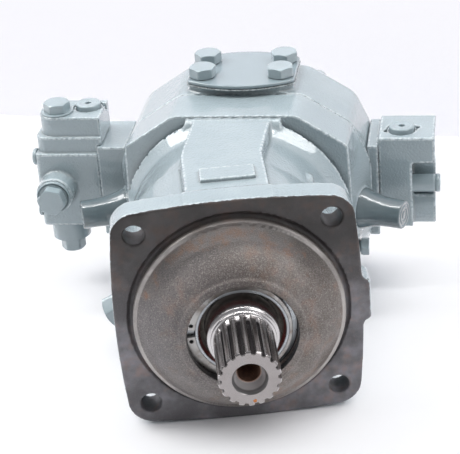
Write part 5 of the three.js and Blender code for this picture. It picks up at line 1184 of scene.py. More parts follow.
@dataclass(frozen=True)
class FrontCasting:
    """Flange, nose, bearing neck and the front half of the swivel housing, cast in one."""

    flange_half: float = 82.2
    flange_corner: float = 13.0
    flange_thick: float = 20.0
    flange_bow: float = 639.0
    lug_half: float = 15.5
    lug_reach: float = 5.3
    hole_half: float = 63.65
    hole_radius: float = 7.0
    pilot_radius: float = 70.0
    pilot_height: float = 6.0
    groove_radius: float = 71.4
    nose_height: float = 29.5
    nose_face: float = 42.0
    ridge_radius: float = 61.5
    neck_radius: float = 76.0
    neck_reach: float = 52.0
    flare_start: float = 39.0
    flare: float = 0.31
    pad_half: float = 27.4
    pad_shift: float = 1.0
    pad_z: float = 80.2
    pad_lean: float = 0.12
    plaque_x: Span = (-17.8, 19.0)
    plaque_y: Span = (33.0, 50.6)
    plaque_height: float = 2.7
    block_face: float = 50.0
    block_side: float = 81.5
    block_chamfer: float = 4.5
    joint: float = 94.0
    drain_radius: float = 15.0
    bleed_radius: float = 8.0
    stop_seat: float = 16.2
    shaft_bores: tuple[tuple[float, float, float, float], ...] = (
        (36.0, -60, -11.2, 0.5), (38.2, -24.9, -21.8, 0.1), (34.0, -12, -7, 0.5), (40.3, -7.3, 16, 0.5),
        (55.3, 14.7, 78, 0.5),
    )
    cavity: float = 67.0
    thread_radius: float = 5.5
    step: float = 1.5

    def flange(self, p: Points) -> Array:
        """A square with bulging sides and round corners: two wide discs each way, shrunk, met and grown again."""
        shrunk = self.flange_bow - self.flange_corner
        shift = self.flange_bow - self.flange_half
        a = np.hypot(np.abs(p.x) + shift, p.z) - shrunk
        b = np.hypot(np.abs(p.z) + shift, p.x) - shrunk
        outline = np.hypot(np.maximum(a, 0), np.maximum(b, 0)) + np.minimum(np.maximum(a, b), 0) - self.flange_corner
        half = self.flange_thick / 2
        plate = rounded(outline, np.abs(p.y - half) - half, 1.3)
        far = (self.flange_half + self.lug_reach, self.flange_thick, self.lug_half)
        return join(plate, brick(p, (60, 0, -self.lug_half), far, 3), 5)

    def nose(self, p: Points) -> Array:
        """The pilot and the crowned nose: a height that rises from the pilot's rim to the flat face round the bore."""
        r = np.hypot(p.x, p.z)
        pilot = rounded(r - self.pilot_radius, -p.y - self.pilot_height - 0.5, 1.0)
        foot = self.pilot_radius - 2.5
        base = self.pilot_height + 0.6
        t = np.clip((foot - r) / (foot - self.nose_face), 0, 1)
        rise = base + (self.nose_height - base) * (1 - (1 - t) ** 1.75)
        ridge = 0.5 * np.exp(-(((r - self.ridge_radius) / 1.6) ** 2))
        crown = np.maximum((-p.y - rise - ridge) * 0.75, r - self.pilot_radius + 1.6)
        lip = rod(r, p.y, 41.0, -31.0, 0.0, 0.8)
        return np.maximum(join(join(pilot, crown, 1.2), lip, 2.0), p.y - self.flange_thick + 4.0)

    def neck(self, p: Points, b: Points) -> Array:
        """The round neck, upright behind the flange and leaning behind the bend, where it flares towards the block."""
        upright = rod(np.hypot(p.x, p.z), p.y, self.neck_radius, 5, PIVOT_Y, 0)
        ahead = b.y - self.flare_start
        flare = self.neck_radius + self.flare * (ahead + np.sqrt(ahead * ahead + 9.0))
        leaning = rounded((np.hypot(b.x, b.z) - flare) * 0.87, np.abs(b.y - self.neck_reach + 28) - 28, 1)
        leaning = meet(leaning, np.maximum(np.abs(b.z) - 79.6, np.abs(b.x) - 80.5), 1.0)
        knuckle = np.sqrt(p.x**2 + (p.y - PIVOT_Y) ** 2 + p.z**2) - self.neck_radius
        return either(upright, leaning, knuckle)

    def pads(self, p: Points, b: Points) -> Array:
        """The flat pads along the top and the bottom of the neck, whose flanks lean outwards below."""
        def pad(q: Points, start: float, end: float) -> Array:
            """One straight length of the two pads."""
            drop = self.pad_z - np.abs(q.z)
            sides = np.abs(q.x + self.pad_shift) - self.pad_half - self.pad_lean * drop
            return meet(meet(-drop, sides, 1.2), np.abs(q.y - (start + end) / 2) - (end - start) / 2)
        knee = meet(np.hypot(b.x + self.pad_shift, b.y) - self.pad_half, np.abs(b.z) - self.pad_z, 1.2)
        return either(pad(p, 4.0, PIVOT_Y), pad(b, 0.0, self.block_face + 4), knee)

    def block(self, b: Points) -> Array:
        """The flared front half of the swivel housing: a round fillet rises from the neck to its chamfered rim."""
        side = self.block_side + 12.0 * np.clip((b.y - self.block_face - 4) / 40.0, 0, 1)
        outline = section(b, side, 2.5)
        chamfer = (outline + self.block_face + self.block_chamfer - b.y) * 0.7071
        step = meet(np.abs(b.z) - self.pad_z + 0.2, np.abs(b.x) - 34, 1.0)
        step = join(step, self.block_face + 5 - b.y, 0.6)
        rim = meet(meet(outline, chamfer, 1.0), step, 0.5)
        return meet(meet(rim, self.block_face - b.y, 1.0), b.y - self.joint, 0.6)

    def fittings(self, body: Array, b: Points) -> Array:
        """The casting with the seats and the holes of its stop caps, its drain plug and its bleed plug."""
        for side in (-1, 1):
            body = join(body, stop_rod(b, side, self.stop_seat, 46.0, 57.5), 2.5)
            body = less(body, stop_rod(b, side, 6.3, 0.0, 80.0), 0.5)
        c, s = math.cos(DRAIN_ANGLE), math.sin(DRAIN_ANGLE)
        out, off = b.x * c + b.z * s, np.hypot(b.y - DRAIN_Y, b.z * c - b.x * s)
        body = join(body, rod(off, out, self.drain_radius, 60, DRAIN_SEAT, 1.2), 4.0)
        body = less(body, rod(off, out, 9.3, 79, 110), 0.5)
        bleed = np.hypot(b.y - BLEED_YZ[0], b.z - BLEED_YZ[1])
        body = join(body, rod(bleed, b.x, self.bleed_radius, 70, BLEED_SEAT, 0.8), 3.0)
        return less(body, rod(bleed, b.x, 4.3, 74, 110), 0.4)

    def bores(self, p: Points, b: Points, r: Array) -> Array:
        """What is bored out: seal seat, bearing seats, the swivel's room, the control's room and bolt threads."""
        along_shaft = [rod(r, p.y, radius, start, end, edge) for radius, start, end, edge in self.shaft_bores]
        swivel = rod(np.hypot(b.x, b.z), b.y, self.cavity, -12, 120)
        control = brick(b, (-62, 74, -48), (62, 120, 48))
        return either(*along_shaft, swivel, control, rod(joint_bolts(b), b.y, self.thread_radius, 64, 110))

    def form(self, p: Points) -> Array:
        """The whole casting less its bores, in the shaft frame."""
        b = p.bent()
        r = np.hypot(p.x, p.z)
        body = join(self.flange(p), self.nose(p), 0.8)
        house = join(fillet(self.neck(p, b), self.block(b), 3.0), self.pads(p, b), 1.5)
        spot = np.sqrt((p.x - 58.0) ** 2 + ((p.y - 86) * 0.6) ** 2 + (p.z - 50.0) ** 2) - 3.6
        body = self.fittings(join(body, join(house, spot, 1.5), 4.0), b)
        (left, right), (near, far) = self.plaque_x, self.plaque_y
        plaque = brick(p, (left, near, self.pad_z - 6), (right, far, self.pad_z + self.plaque_height), 0.5)
        body = join(body, plaque, 0.6)
        hole = np.hypot(np.abs(p.x) - self.hole_half, np.abs(p.z) - self.hole_half)
        body = less(body, np.maximum(hole - self.hole_radius, p.y - self.flange_thick - 4), 1.0)
        body = less(body, np.hypot(r - self.groove_radius, p.y + 0.6) - 2.1, 0.4)
        return less(body, self.bores(p, b, r), 0.8)

    def assemble(self, bench: Bench) -> None:
        """Puts the casting in."""
        surface = implicit_surface(self.form, (-104, -33.5, -85.5), (116, 192, 85.5), self.step)
        bench.put(cast_object("front_casting", surface, bench.shaft), Slot.FRONT, "front_housing")


@dataclass(frozen=True)
class EndCasting:
    """The rear half of the swivel housing with its ports, track and control cylinder."""

    start: float = 95.0
    edge: float = 151.0
    face: float = 160.0
    side: float = 93.5
    seat_half: float = 38.5
    seat_side: float = 21.0
    seat_bulge: float = 12.0
    seat_top: float = 86.8
    spigot: float = 66.5
    track: float = 106.3
    track_half: float = 48.0
    cylinder: float = 15.0
    top_port: float = 12.5
    low_port: float = 20.0
    low_bolt_xy: Span = (34.95, 17.85)
    end_flat: float = 90.0
    step: float = 1.5

    def seat(self, b: Points) -> Array:
        """The raised seat of the cover: straight ends and bulging long sides."""
        bulge = self.seat_side + self.seat_bulge * np.clip(1 - (b.x / self.seat_half) ** 2, 0, 1)
        outline = meet(np.abs(b.x) - self.seat_half, (np.abs(b.y - PORT_Y) - bulge) * 0.86, 2.0)
        return meet(outline, np.abs(b.z - 80) - (self.seat_top - 80), 0.8)

    def bores(self, b: Points) -> Array:
        """What is cut out: the swivel's track, the control cylinder, the ports and every bolt hole."""
        port = np.hypot(b.x, b.y - PORT_Y)
        x, y, z = np.abs(b.x), np.abs(b.y - PORT_Y), np.abs(b.z)
        top = np.hypot(x - COVER_BOLT_XY[0], y - COVER_BOLT_XY[1])
        low = np.hypot(x - self.low_bolt_xy[0], y - self.low_bolt_xy[1])
        window = np.maximum(x - 30, np.abs(z - 29.5) - 8.5)
        return either(
            rod(np.hypot(b.x, b.y), b.z, self.track, -self.track_half, self.track_half),
            rod(np.hypot(b.y - CONTROL_Y, b.z), b.x, self.cylinder, -120, 120),
            brick(b, (-26, 96, -5.5), (26, 126, 5.5)),
            rod(port, b.z, self.top_port, 21, 110),
            rod(port, b.z, self.low_port, -110, -21),
            np.maximum(window, np.abs(b.y - 109) - 13),
            rod(top, b.z, 6.5, 66.8, 110),
            rod(low, b.z, 5.8, -110, -62.2),
            rod(joint_bolts(b), b.y, 5.6, 80, 175),
            rod(joint_bolts(b), b.y, 9.0, 149, 180),
            stop_rod(b, -1, 7.0, 8.0, 57.5),
            stop_rod(b, 1, 7.0, 8.0, 57.5),
            np.maximum(self.end_flat - x, np.maximum(97 - b.y, np.abs(b.z - 1.5) - 37.5)),
        )

    def form(self, b: Points) -> Array:
        """The casting less its bores, in the bent frame."""
        outline = section(b, np.full_like(b.x, self.side), 3.5)
        rear = (9.0 * outline + 8.0 * (b.y - self.edge)) / 12.04
        body = meet(meet(outline, self.start - b.y, 0.6), meet(rear, b.y - self.face, 2.5), 2.5)
        body = join(body, meet(self.seat(b), self.start - b.y, 0.6), 3.0)
        body = join(body, rod(np.hypot(b.x, b.z), b.y, self.spigot, 87, 97), 0.0)
        return less(body, self.bores(b), 0.8)

    def assemble(self, bench: Bench) -> None:
        """Puts the casting in."""
        surface = implicit_surface(self.form, (-96, 84.5, -85), (96, 163, 90), self.step)
        bench.put(cast_object("end_casting", surface, bench.bent), Slot.END, "end_housing")


# ---- control blocks


@dataclass(frozen=True)
class OpenRing:
    """A flat ring with an opening: a washer less a wedge, with a tool hole by each end where a size is given for it."""

    name: str
    inner: float
    outer: float
    thick: float
    middle: float
    half: float
    tool_hole: float = 0.0
    offset: float = 0.0
    step: float = 0.35

    def form(self, p: Points) -> Array:
        """The distance to the ring, whose axis is y and whose front is at y = 0."""
        middle = math.radians(self.middle)
        hole = np.hypot(p.x, p.z) - self.inner
        rim = np.hypot(p.x - self.offset * math.cos(middle), p.z - self.offset * math.sin(middle)) - self.outer
        plan = np.maximum(rim, -hole)
        turn = np.abs(np.mod(np.arctan2(p.z, p.x) - middle + math.pi, 2 * math.pi) - math.pi)
        wedge = np.hypot(p.x, p.z) * (math.radians(self.half) - turn)
        plan = np.maximum(plan, wedge)
        if self.tool_hole:
            for side in (-1, 1):
                angle = middle + side * math.radians(self.half + 6.0)
                reach = (self.inner + self.outer + self.offset) / 2
                away = np.hypot(p.x - reach * math.cos(angle), p.z - reach * math.sin(angle))
                plan = np.maximum(plan, self.tool_hole - away)
        return rounded(plan, np.abs(p.y - self.thick / 2) - self.thick / 2, 0.3)

    def dress(self, place: Place) -> Piece:
        """The ring as a piece."""
        reach = self.outer + abs(self.offset) + 1
        surface = implicit_surface(self.form, (-reach, -1, -reach), (reach, self.thick + 1, reach), self.step)
        return cast_object(self.name, surface, place)


@dataclass(frozen=True)
class RoundCap:
    """A round cap plug with a small centre hole, and the open ring that holds it, in the top of a block."""

    side: str
    at: Triple
    floor: float
    seat: float = 9.8
    ring_radius: float = 11.2
    ring_depth: float = 2.8
    pockets: tuple[float, float] = (16.0, 196.0)
    pocket_radius: float = 2.4
    pocket_depth: float = 5.0

    def cut(self, b: Points) -> Array:
        """The bore of the plug, the recess of the ring and a small pocket at each end of the ring."""
        x, y, z = self.at
        off = np.hypot(b.x - x, b.y - y)
        cut = either(rod(off, b.z, self.seat, self.floor, 80), rod(off, b.z, self.ring_radius, z - self.ring_depth, 80))
        for turn in self.pockets:
            a = math.radians(turn)
            pocket = np.hypot(b.x - x - self.ring_radius * math.cos(a), b.y - y - self.ring_radius * math.sin(a))
            cut = either(cut, rod(pocket, b.z, self.pocket_radius, z - self.pocket_depth, 80))
        return cut

    def assemble(self, bench: Bench) -> None:
        """Puts the plug and its ring in."""
        rows = ((0, -13.7), (9.5, -13.7), (9.5, 2.4), (8.7, 3.2), (6.4, 3.2), (6.1, 2.9))
        rows += ((2.5, 2.9), (2.2, 2.6), (2.2, -1.0), (0, -1.6))
        plug = Turned(f"{self.side}_cap", rows).dress(bench.bent.at(self.at, UP, BACK))
        bench.put(plug, Slot.PLUG, f"{self.side}_cap_plug")
        ring = OpenRing(f"{self.side}_cap_clip", 9.8, 10.9, 1.5, 90.0, 14.0, step=0.3)
        floor = (self.at[0], self.at[1], self.at[2] - 2.5)
        bench.put(ring.dress(bench.bent.at(floor, UP, FRONT)), Slot.PLUG, f"{self.side}_cap_ring")


@dataclass(frozen=True)
class Tier:
    """One step of a stacked block: a box between two heights whose outer front corner is round."""

    left: float
    right: float
    front: float
    low: float
    top: float
    corner: float
    rear: float = 137.5

    def form(self, b: Points) -> Array:
        """The distance to the tier."""
        plan = rounded(self.left - b.x, self.front - b.y, self.corner)
        plan = meet(plan, np.maximum(b.x - self.right, b.y - self.rear), 1.0)
        return rounded(plan, np.abs(b.z - (self.low + self.top) / 2) - (self.top - self.low) / 2, 0.8)


@dataclass(frozen=True)
class LeftValveBlock:
    """The stepped control block on the left end of the control cylinder, with its plugs."""

    main: Tier = Tier(-160.8, -112.0, 98.0, -27.6, 32.5, 4.0)
    middle: Tier = Tier(-159.8, -112.0, 101.0, 0, 45.0, 8.0)
    upper: Tier = Tier(-156.9, -109.0, 103.2, 38.4, 60.3, 12.0)
    filler: Tier = Tier(-156.9, -112.0, 103.2, 30, 50, 12.0)
    ledge: Tier = Tier(-140, -109.0, 101.0, 38.4, 45.0, 2.0)
    boss_radius: float = 14.0
    boss_front: float = 84.0
    cap: RoundCap = RoundCap("left", LEFT_CAP_AT, 46.0)
    step: float = 0.9

    def form(self, b: Points) -> Array:
        """Three stacked tiers, a front boss, and the bores of the plugs."""
        main = meet(self.main.form(b), rounded(self.main.left - b.x, self.main.low - b.z, 2.0), 0.3)
        body = fillet(main, self.middle.form(b), 0.7)
        body = fillet(body, either(self.upper.form(b), self.filler.form(b)), 0.7)
        body = either(body, self.ledge.form(b))
        front_plug = np.hypot(b.x - FRONT_PLUG_XZ[0], b.z - FRONT_PLUG_XZ[1])
        body = fillet(body, rod(front_plug, b.y, self.boss_radius, self.boss_front, 110, 1.6), 2.5)
        spool = np.hypot(b.x - SPOOL_XY[0], b.y - SPOOL_XY[1])
        cut = either(rod(spool, b.z, 6.0, -60, 80), rod(front_plug, b.y, 8.3, 68, 100), self.cap.cut(b))
        return less(body, cut, 0.6)

    def assemble(self, bench: Bench) -> None:
        """Puts the block and its plugs in."""
        bent = bench.bent
        surface = implicit_surface(self.form, (-163, 82, -29.5), (-106, 140, 63), self.step)
        bench.put(cast_object("left_control_block", surface, bent), Slot.BLOCK, "left_valve_block")
        rows = ((8.3, 0), (12.4, 0), (12.8, 0.4), (12.8, 2.4), (12.2, 3.0), (11.4, 2.4), (11.2, 1.9), (8.3, 1.9))
        x, z = FRONT_PLUG_XZ
        plugs = (
            ("top_plug", plug_rows(5.7, 10, 12.4, 0.8, 18, 7.0), 47.0, 0.4, (*SPOOL_XY, self.upper.top), UP, BACK),
            ("front_plug", plug_rows(8, 15, 10.8, 1, 19, 8), 12.0, 0.4, (x, self.boss_front - 2.6, z), FRONT, UP),
            ("front_collar", rows + rows[:1], 0.0, 0.25, (x, self.boss_front - 0.3, z), FRONT, UP),
            ("bottom_plug", plug_rows(5.7, 3.2, 15, 17, 17, 12), 10.0, 0.4, (*SPOOL_XY, -26), DOWN, BACK),
        )
        for name, rows, turn, soft, at, axis, side in plugs:
            node = "left_" + name.replace("collar", "ring")
            bench.put(Turned(name, rows, turn, soft).dress(bent.at(at, axis, side)), Slot.PLUG, node)
        for name, at, radius in (("upper", (-160.6, 107, 27), 6.5), ("lower", (-160.6, 104, -17), 4.5)):
            rows = ((0, 0.3), (radius, 0.3, 0), (radius, 2.2, 0), (radius - 1, 3.3, 0), (radius * 0.45, 3.3, 0))
            plug = Turned(f"side_plug_{name}", rows + ((radius * 0.4, 2.2, 6), (0, 2.0, 0)))
            bench.put(plug.dress(bent.at(at, LEFT)), Slot.PLUG, f"left_side_plug_{name}")
        self.cap.assemble(bench)


@dataclass(frozen=True)
class RightValveBlock:
    """The notched control block on the right end of the control cylinder, with its plug and its adjuster."""

    notch_x: float = 123.0
    notch_y: float = 115.5
    notch_z: Span = (-4.0, 23.7)
    foot_front: float = 100.6
    adjuster_yz: Span = (107.0, 4.0)
    cap: RoundCap = RoundCap("right", RIGHT_CAP_AT, 30.0)
    step: float = 0.9

    def form(self, b: Points) -> Array:
        """A box with a notch in its front, a rounded foot, and the bore of its plug."""
        body = brick(b, (98.6, 98.5, -28.5), (139.8, 141, 44), 1.6)
        low, high = self.notch_z
        body = less(body, brick(b, (self.notch_x, 60, low), (160, self.notch_y, high), 2.5), 1.5)
        front = self.foot_front + 5.0 * ((b.z + 14.5) / 13.5) ** 2
        foot = np.maximum(rounded(b.y - front, self.notch_x - b.x, 2.0), b.z + 1.5)
        return less(less(body, foot, 0.8), self.cap.cut(b), 0.6)

    def assemble(self, bench: Bench) -> None:
        """Puts the block, its plug and its adjuster in."""
        surface = implicit_surface(self.form, (96, 96, -31), (142.5, 143.5, 46.5), self.step)
        bench.put(cast_object("right_control_block", surface, bench.bent), Slot.BLOCK, "right_valve_block")
        self.cap.assemble(bench)
        rows = ((0, 111.3), (5.4, 111.3), (6.8, 112.1), (6.8, 138.6), (6.2, 139.1), (6.2, 139.9))
        rows += ((6.9, 140.4), (6.9, 142.6), (6.1, 143.4), (2.4, 143.4, 5), (2.4, 141.2, 5), (0, 140.9))
        rod_piece = Turned("adjusting_rod", rows, 0.0, 0.3, 72).dress(bench.bent.at((0, *self.adjuster_yz), RIGHT))
        bench.put(rod_piece, Slot.PLUG, "right_adjuster")


# ---- cover, bolts, end blocks and rings


@dataclass(frozen=True)
class Cover:
    """The port cover on top, its gasket and its four bolts."""

    half: float = 39.5
    side: float = 22.0
    bulge: float = 12.0
    seat: float = 87.1
    gasket: float = 0.9
    under: float = 88.3
    top: float = 91.0
    hole: float = 6.6
    turns: tuple[float, ...] = (40.0, 22.0, 51.0, 12.0)
    step: float = 0.9
    gasket_step: float = 0.6

    def plate(self, grow: float, low: float, high: float, edge: float) -> Form:
        """A plate with straight ends and bulging long sides, grown outwards all round."""
        def form(b: Points) -> Array:
            """The distance to the plate less its four bolt holes."""
            swell = self.side + self.bulge * np.clip(1 - (b.x / self.half) ** 2, 0, 1)
            lean = 2 * self.bulge * np.abs(b.x) / self.half**2
            sides = (np.abs(b.y - PORT_Y) - swell - grow) / np.sqrt(1 + lean * lean)
            outline = rounded(np.abs(b.x) - self.half - grow, sides, 2.5)
            body = rounded(outline, np.abs(b.z - (low + high) / 2) - (high - low) / 2, edge)
            away = np.hypot(np.abs(b.x) - COVER_BOLT_XY[0], np.abs(b.y - PORT_Y) - COVER_BOLT_XY[1])
            return np.maximum(body, self.hole - away)
        return form

    def bolt(self, name: str, place: Place, turn: float) -> Piece:
        """One bolt: shank, washer face and bevelled hexagon head."""
        rows = ((0, 68.8), (5, 68.8), (6, 69.8), (6, 91.3), (9.1, 91.3), (9.1, 91.9))
        rows += bevelled(10.35, 91.9, 98.8, 18.0, 1.5) + ((0, 98.8),)
        return Turned(name, rows, turn, 0.35).dress(place)

    def assemble(self, bench: Bench) -> None:
        """Puts the cover, its gasket, its bolts and the bolts between the housings in."""
        low, high = (-42, PORT_Y - 37, self.seat - 1.5), (42, PORT_Y + 37, self.top + 1.5)
        cover = implicit_surface(self.plate(0.0, self.under, self.top, 0.9), low, high, self.step)
        bench.put(cast_object("top_cover", cover, bench.bent), Slot.COVER, "port_cover")
        sheet = self.plate(0.6, self.seat, self.seat + self.gasket, 0.2)
        gasket = implicit_surface(sheet, low, high, self.gasket_step)
        bench.put(cast_object("top_gasket", gasket, bench.bent), Slot.GASKET, "cover_gasket")
        corners = [(x, y) for y in (-1, 1) for x in (-1, 1)]
        for number, ((x, y), turn) in enumerate(zip(corners, self.turns), 1):
            top = (x * COVER_BOLT_XY[0], PORT_Y + y * COVER_BOLT_XY[1])
            bolt = self.bolt(f"top_bolt_{number}", bench.bent.at((*top, 0), UP, BACK), turn)
            bench.put(bolt, Slot.BOLT, bench.nearest("cover_bolt", (*top, 85)))
            across, up = x * JOINT_BOLT_XZ[0], y * JOINT_BOLT_XZ[1]
            bolt = housing_bolt(f"joint_bolt_{number}", bench.bent.at((across, 0, up), BACK))
            bench.put(bolt, Slot.BOLT, bench.nearest("housing_bolt", (across, 110, up)))


def housing_bolt(name: str, place: Place) -> Piece:
    """One socket-head bolt that holds the two housings together."""
    rows = ((0, 66), (4.2, 66), (5, 66.8), (5, 149.3), (8, 149.3), (8, 159.3), (4.9, 159.3))
    rows += ((4.6, 158.9, 8), (4.6, 153.3, 8), (0, 152.4))
    return Turned(name, rows, 0.0, 0.3, 48, 3).dress(place)


@dataclass(frozen=True)
class EndBlock:
    """A flat block that closes one end of the control cylinder, with a round spigot in the bore."""

    side: str
    inner: float
    outer: float
    front: float = 98.0
    rear: float = 148.0
    bottom: float = -35.0
    top: float = 38.0
    spigot: float = 14.7
    spigot_end: float = 51.9
    step: float = 1.0

    def assemble(self, bench: Bench) -> None:
        """Puts the block in."""
        low, high = sorted((self.inner, self.outer))
        hand = math.copysign(1.0, self.outer)

        def form(b: Points) -> Array:
            """The block with its spigot."""
            body = brick(b, (low, self.front, self.bottom), (high, self.rear, self.top), 0.9)
            off = np.hypot(b.y - CONTROL_Y, b.z)
            return join(body, rod(off, hand * b.x, self.spigot, self.spigot_end, 93, 0.8), 0.4)
        start, end = sorted((hand * (self.spigot_end - 2), self.outer + hand * 2))
        near, far = (start, self.front - 2.5, self.bottom - 2.5), (end, self.rear + 2.5, self.top + 2.5)
        piece = cast_object(f"{self.side}_end_plate", implicit_surface(form, near, far, self.step), bench.bent)
        bench.put(piece, Slot.BLOCK, f"{self.side}_end_block")


# ---- plugs and caps


def plug_rows(thread: float, depth: float, collar: float, height: float, flats: float, head: float) -> Rows:
    """Profile rows of a hexagon plug on its seat: thread, round collar and bevelled head.

    Args:
        thread: The thread's radius.
        depth: How deep the thread reaches below the seat.
        collar: The collar's radius.
        height: The collar's height.
        flats: The width over the head's flats.
        head: The head's height.

    Returns:
        The rows from the thread's end to the middle of the head.
    """
    gap = 0.3
    top = gap + height + head
    corner = flats * 0.574
    rows = ((0, -depth, 0), (thread - 0.8, -depth, 0), (thread, -depth + 1, 0), (thread, gap, 0), (collar, gap, 0))
    rows += ((collar, gap + height, 0),)
    return rows + bevelled(corner, gap + height, top, flats, 0.085 * flats) + ((0, top, 0),)


@dataclass(frozen=True)
class StopCaps:
    """The hollow caps over the two stop screws, each with its own length beyond the CAD's."""

    left_longer: float = 3.0
    right_longer: float = 1.2
    barrel_end: float = 85.0

    def place(self, bent: Place, side: int) -> Place:
        """A frame whose y axis runs outwards along a stop screw's line, from where it touches its circle."""
        c, s = math.cos(STOP_ANGLE), math.sin(STOP_ANGLE)
        return bent.at((side * STOP_CIRCLE * s, STOP_CIRCLE * c, 0.0), (side * c, -s, 0.0))

    def cap(self, name: str, place: Place, longer: float) -> Piece:
        """One cap: a flared foot, a banded barrel and a stepped end, drawn out beyond its neck."""
        rows = ((0, 84.5), (8, 84.5), (8, 57.8), (15.2, 57.8), (15.1, 59.4), (13.2, 64.0))
        rows += ((11.8, 69.5), (11.0, 74.0), (10.6, 81.0), (10.5, 87.9), (9.9, 88.5), (8.4, 88.5))
        rows += ((8.1, 88.1), (6.8, 88.1), (6.5, 88.5), (4.6, 88.5), (4.3, 88.1), (2.8, 88.1))
        rows += ((2.5, 88.5), (0, 88.5))
        drawn = tuple((radius, along + longer * (along > self.barrel_end)) for radius, along in rows)
        return Turned(name, drawn, 0.0, 0.3).dress(place)

    def assemble(self, bench: Bench) -> None:
        """Puts both caps in."""
        for side, name, longer in ((-1, "left", self.left_longer), (1, "right", self.right_longer)):
            cap = self.cap(f"{name}_stop_cap", self.place(bench.bent, side), longer)
            # The caps take the darker copy of the paint, as painted shade.
            bench.put(cap, Slot.PLUG, f"stop_cap_{name}", finish=bench.shaded_cap_finish)


class SidePlugs:
    """The drain plug low on the left of the neck and the bleed plug on the right."""

    def assemble(self, bench: Bench) -> None:
        """Puts both plugs in."""
        out = (math.cos(DRAIN_ANGLE), 0, math.sin(DRAIN_ANGLE))
        seat = bench.bent.at((DRAIN_SEAT * out[0], DRAIN_Y, DRAIN_SEAT * out[2]), out, BACK)
        bench.put(Turned("drain", plug_rows(9, 12, 14, 2, 22, 11), 8.0).dress(seat), Slot.PLUG, "drain_plug")
        seat = bench.bent.at((BLEED_SEAT + 1, *BLEED_YZ), RIGHT)
        bench.put(Turned("bleed", plug_rows(4, 10, 6, 1, 12, 5), 20.0).dress(seat), Slot.PLUG, "bleed_plug")


@dataclass(frozen=True)
class SpoolSpring:
    """The return spring over the control spool, wound between the ends of its CAD node."""

    radius: float = 4.6
    wire: float = 1.37
    turns: float = 4.0
    squashed: float = 0.89
    rings: int = 241
    sides: int = 12

    def coil(self, start: float, end: float) -> Array:
        """A round wire along a helix round z: helix points plus a circle across it, by ring and angle, ends closed."""
        share = np.linspace(0.0, 1.0, self.rings)
        turn = 2 * math.pi * self.turns * share
        outward = np.stack([np.cos(turn), np.sin(turn), np.zeros_like(turn)], -1)
        height = start + self.wire / 2 + (end - start - self.wire) * share
        middle = self.radius * outward + np.stack([0 * turn, 0 * turn, height], -1)
        along = np.gradient(middle, axis=0)
        upward = np.cross(along / np.linalg.norm(along, axis=1, keepdims=True), outward)
        angle = np.linspace(0.0, 2 * math.pi, self.sides, endpoint=False)[None, :, None]
        ring = middle[:, None] + self.wire / 2 * (np.cos(angle) * outward[:, None] + np.sin(angle) * upward[:, None])
        first, last = (np.repeat(middle[i][None, None], self.sides, 1) for i in (0, -1))
        return np.concatenate([first, ring, last])

    def assemble(self, bench: Bench) -> None:
        """Puts the spring in."""
        low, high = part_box("spool_spring")
        x, y = ((a + b) / 2 for a, b in zip(low[:2], high[:2]))
        points, faces = shell(self.coil(float(low[2]) / MM, float(high[2]) / MM))
        upright = Place(np.array([x, y, 0.0]), np.eye(3))
        spring = mesh_object("return_spring", upright.out(points), faces)
        bench.put(spring, Slot.SPRING, "spool_spring")
        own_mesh(spring)


# ---- drive shaft and seal


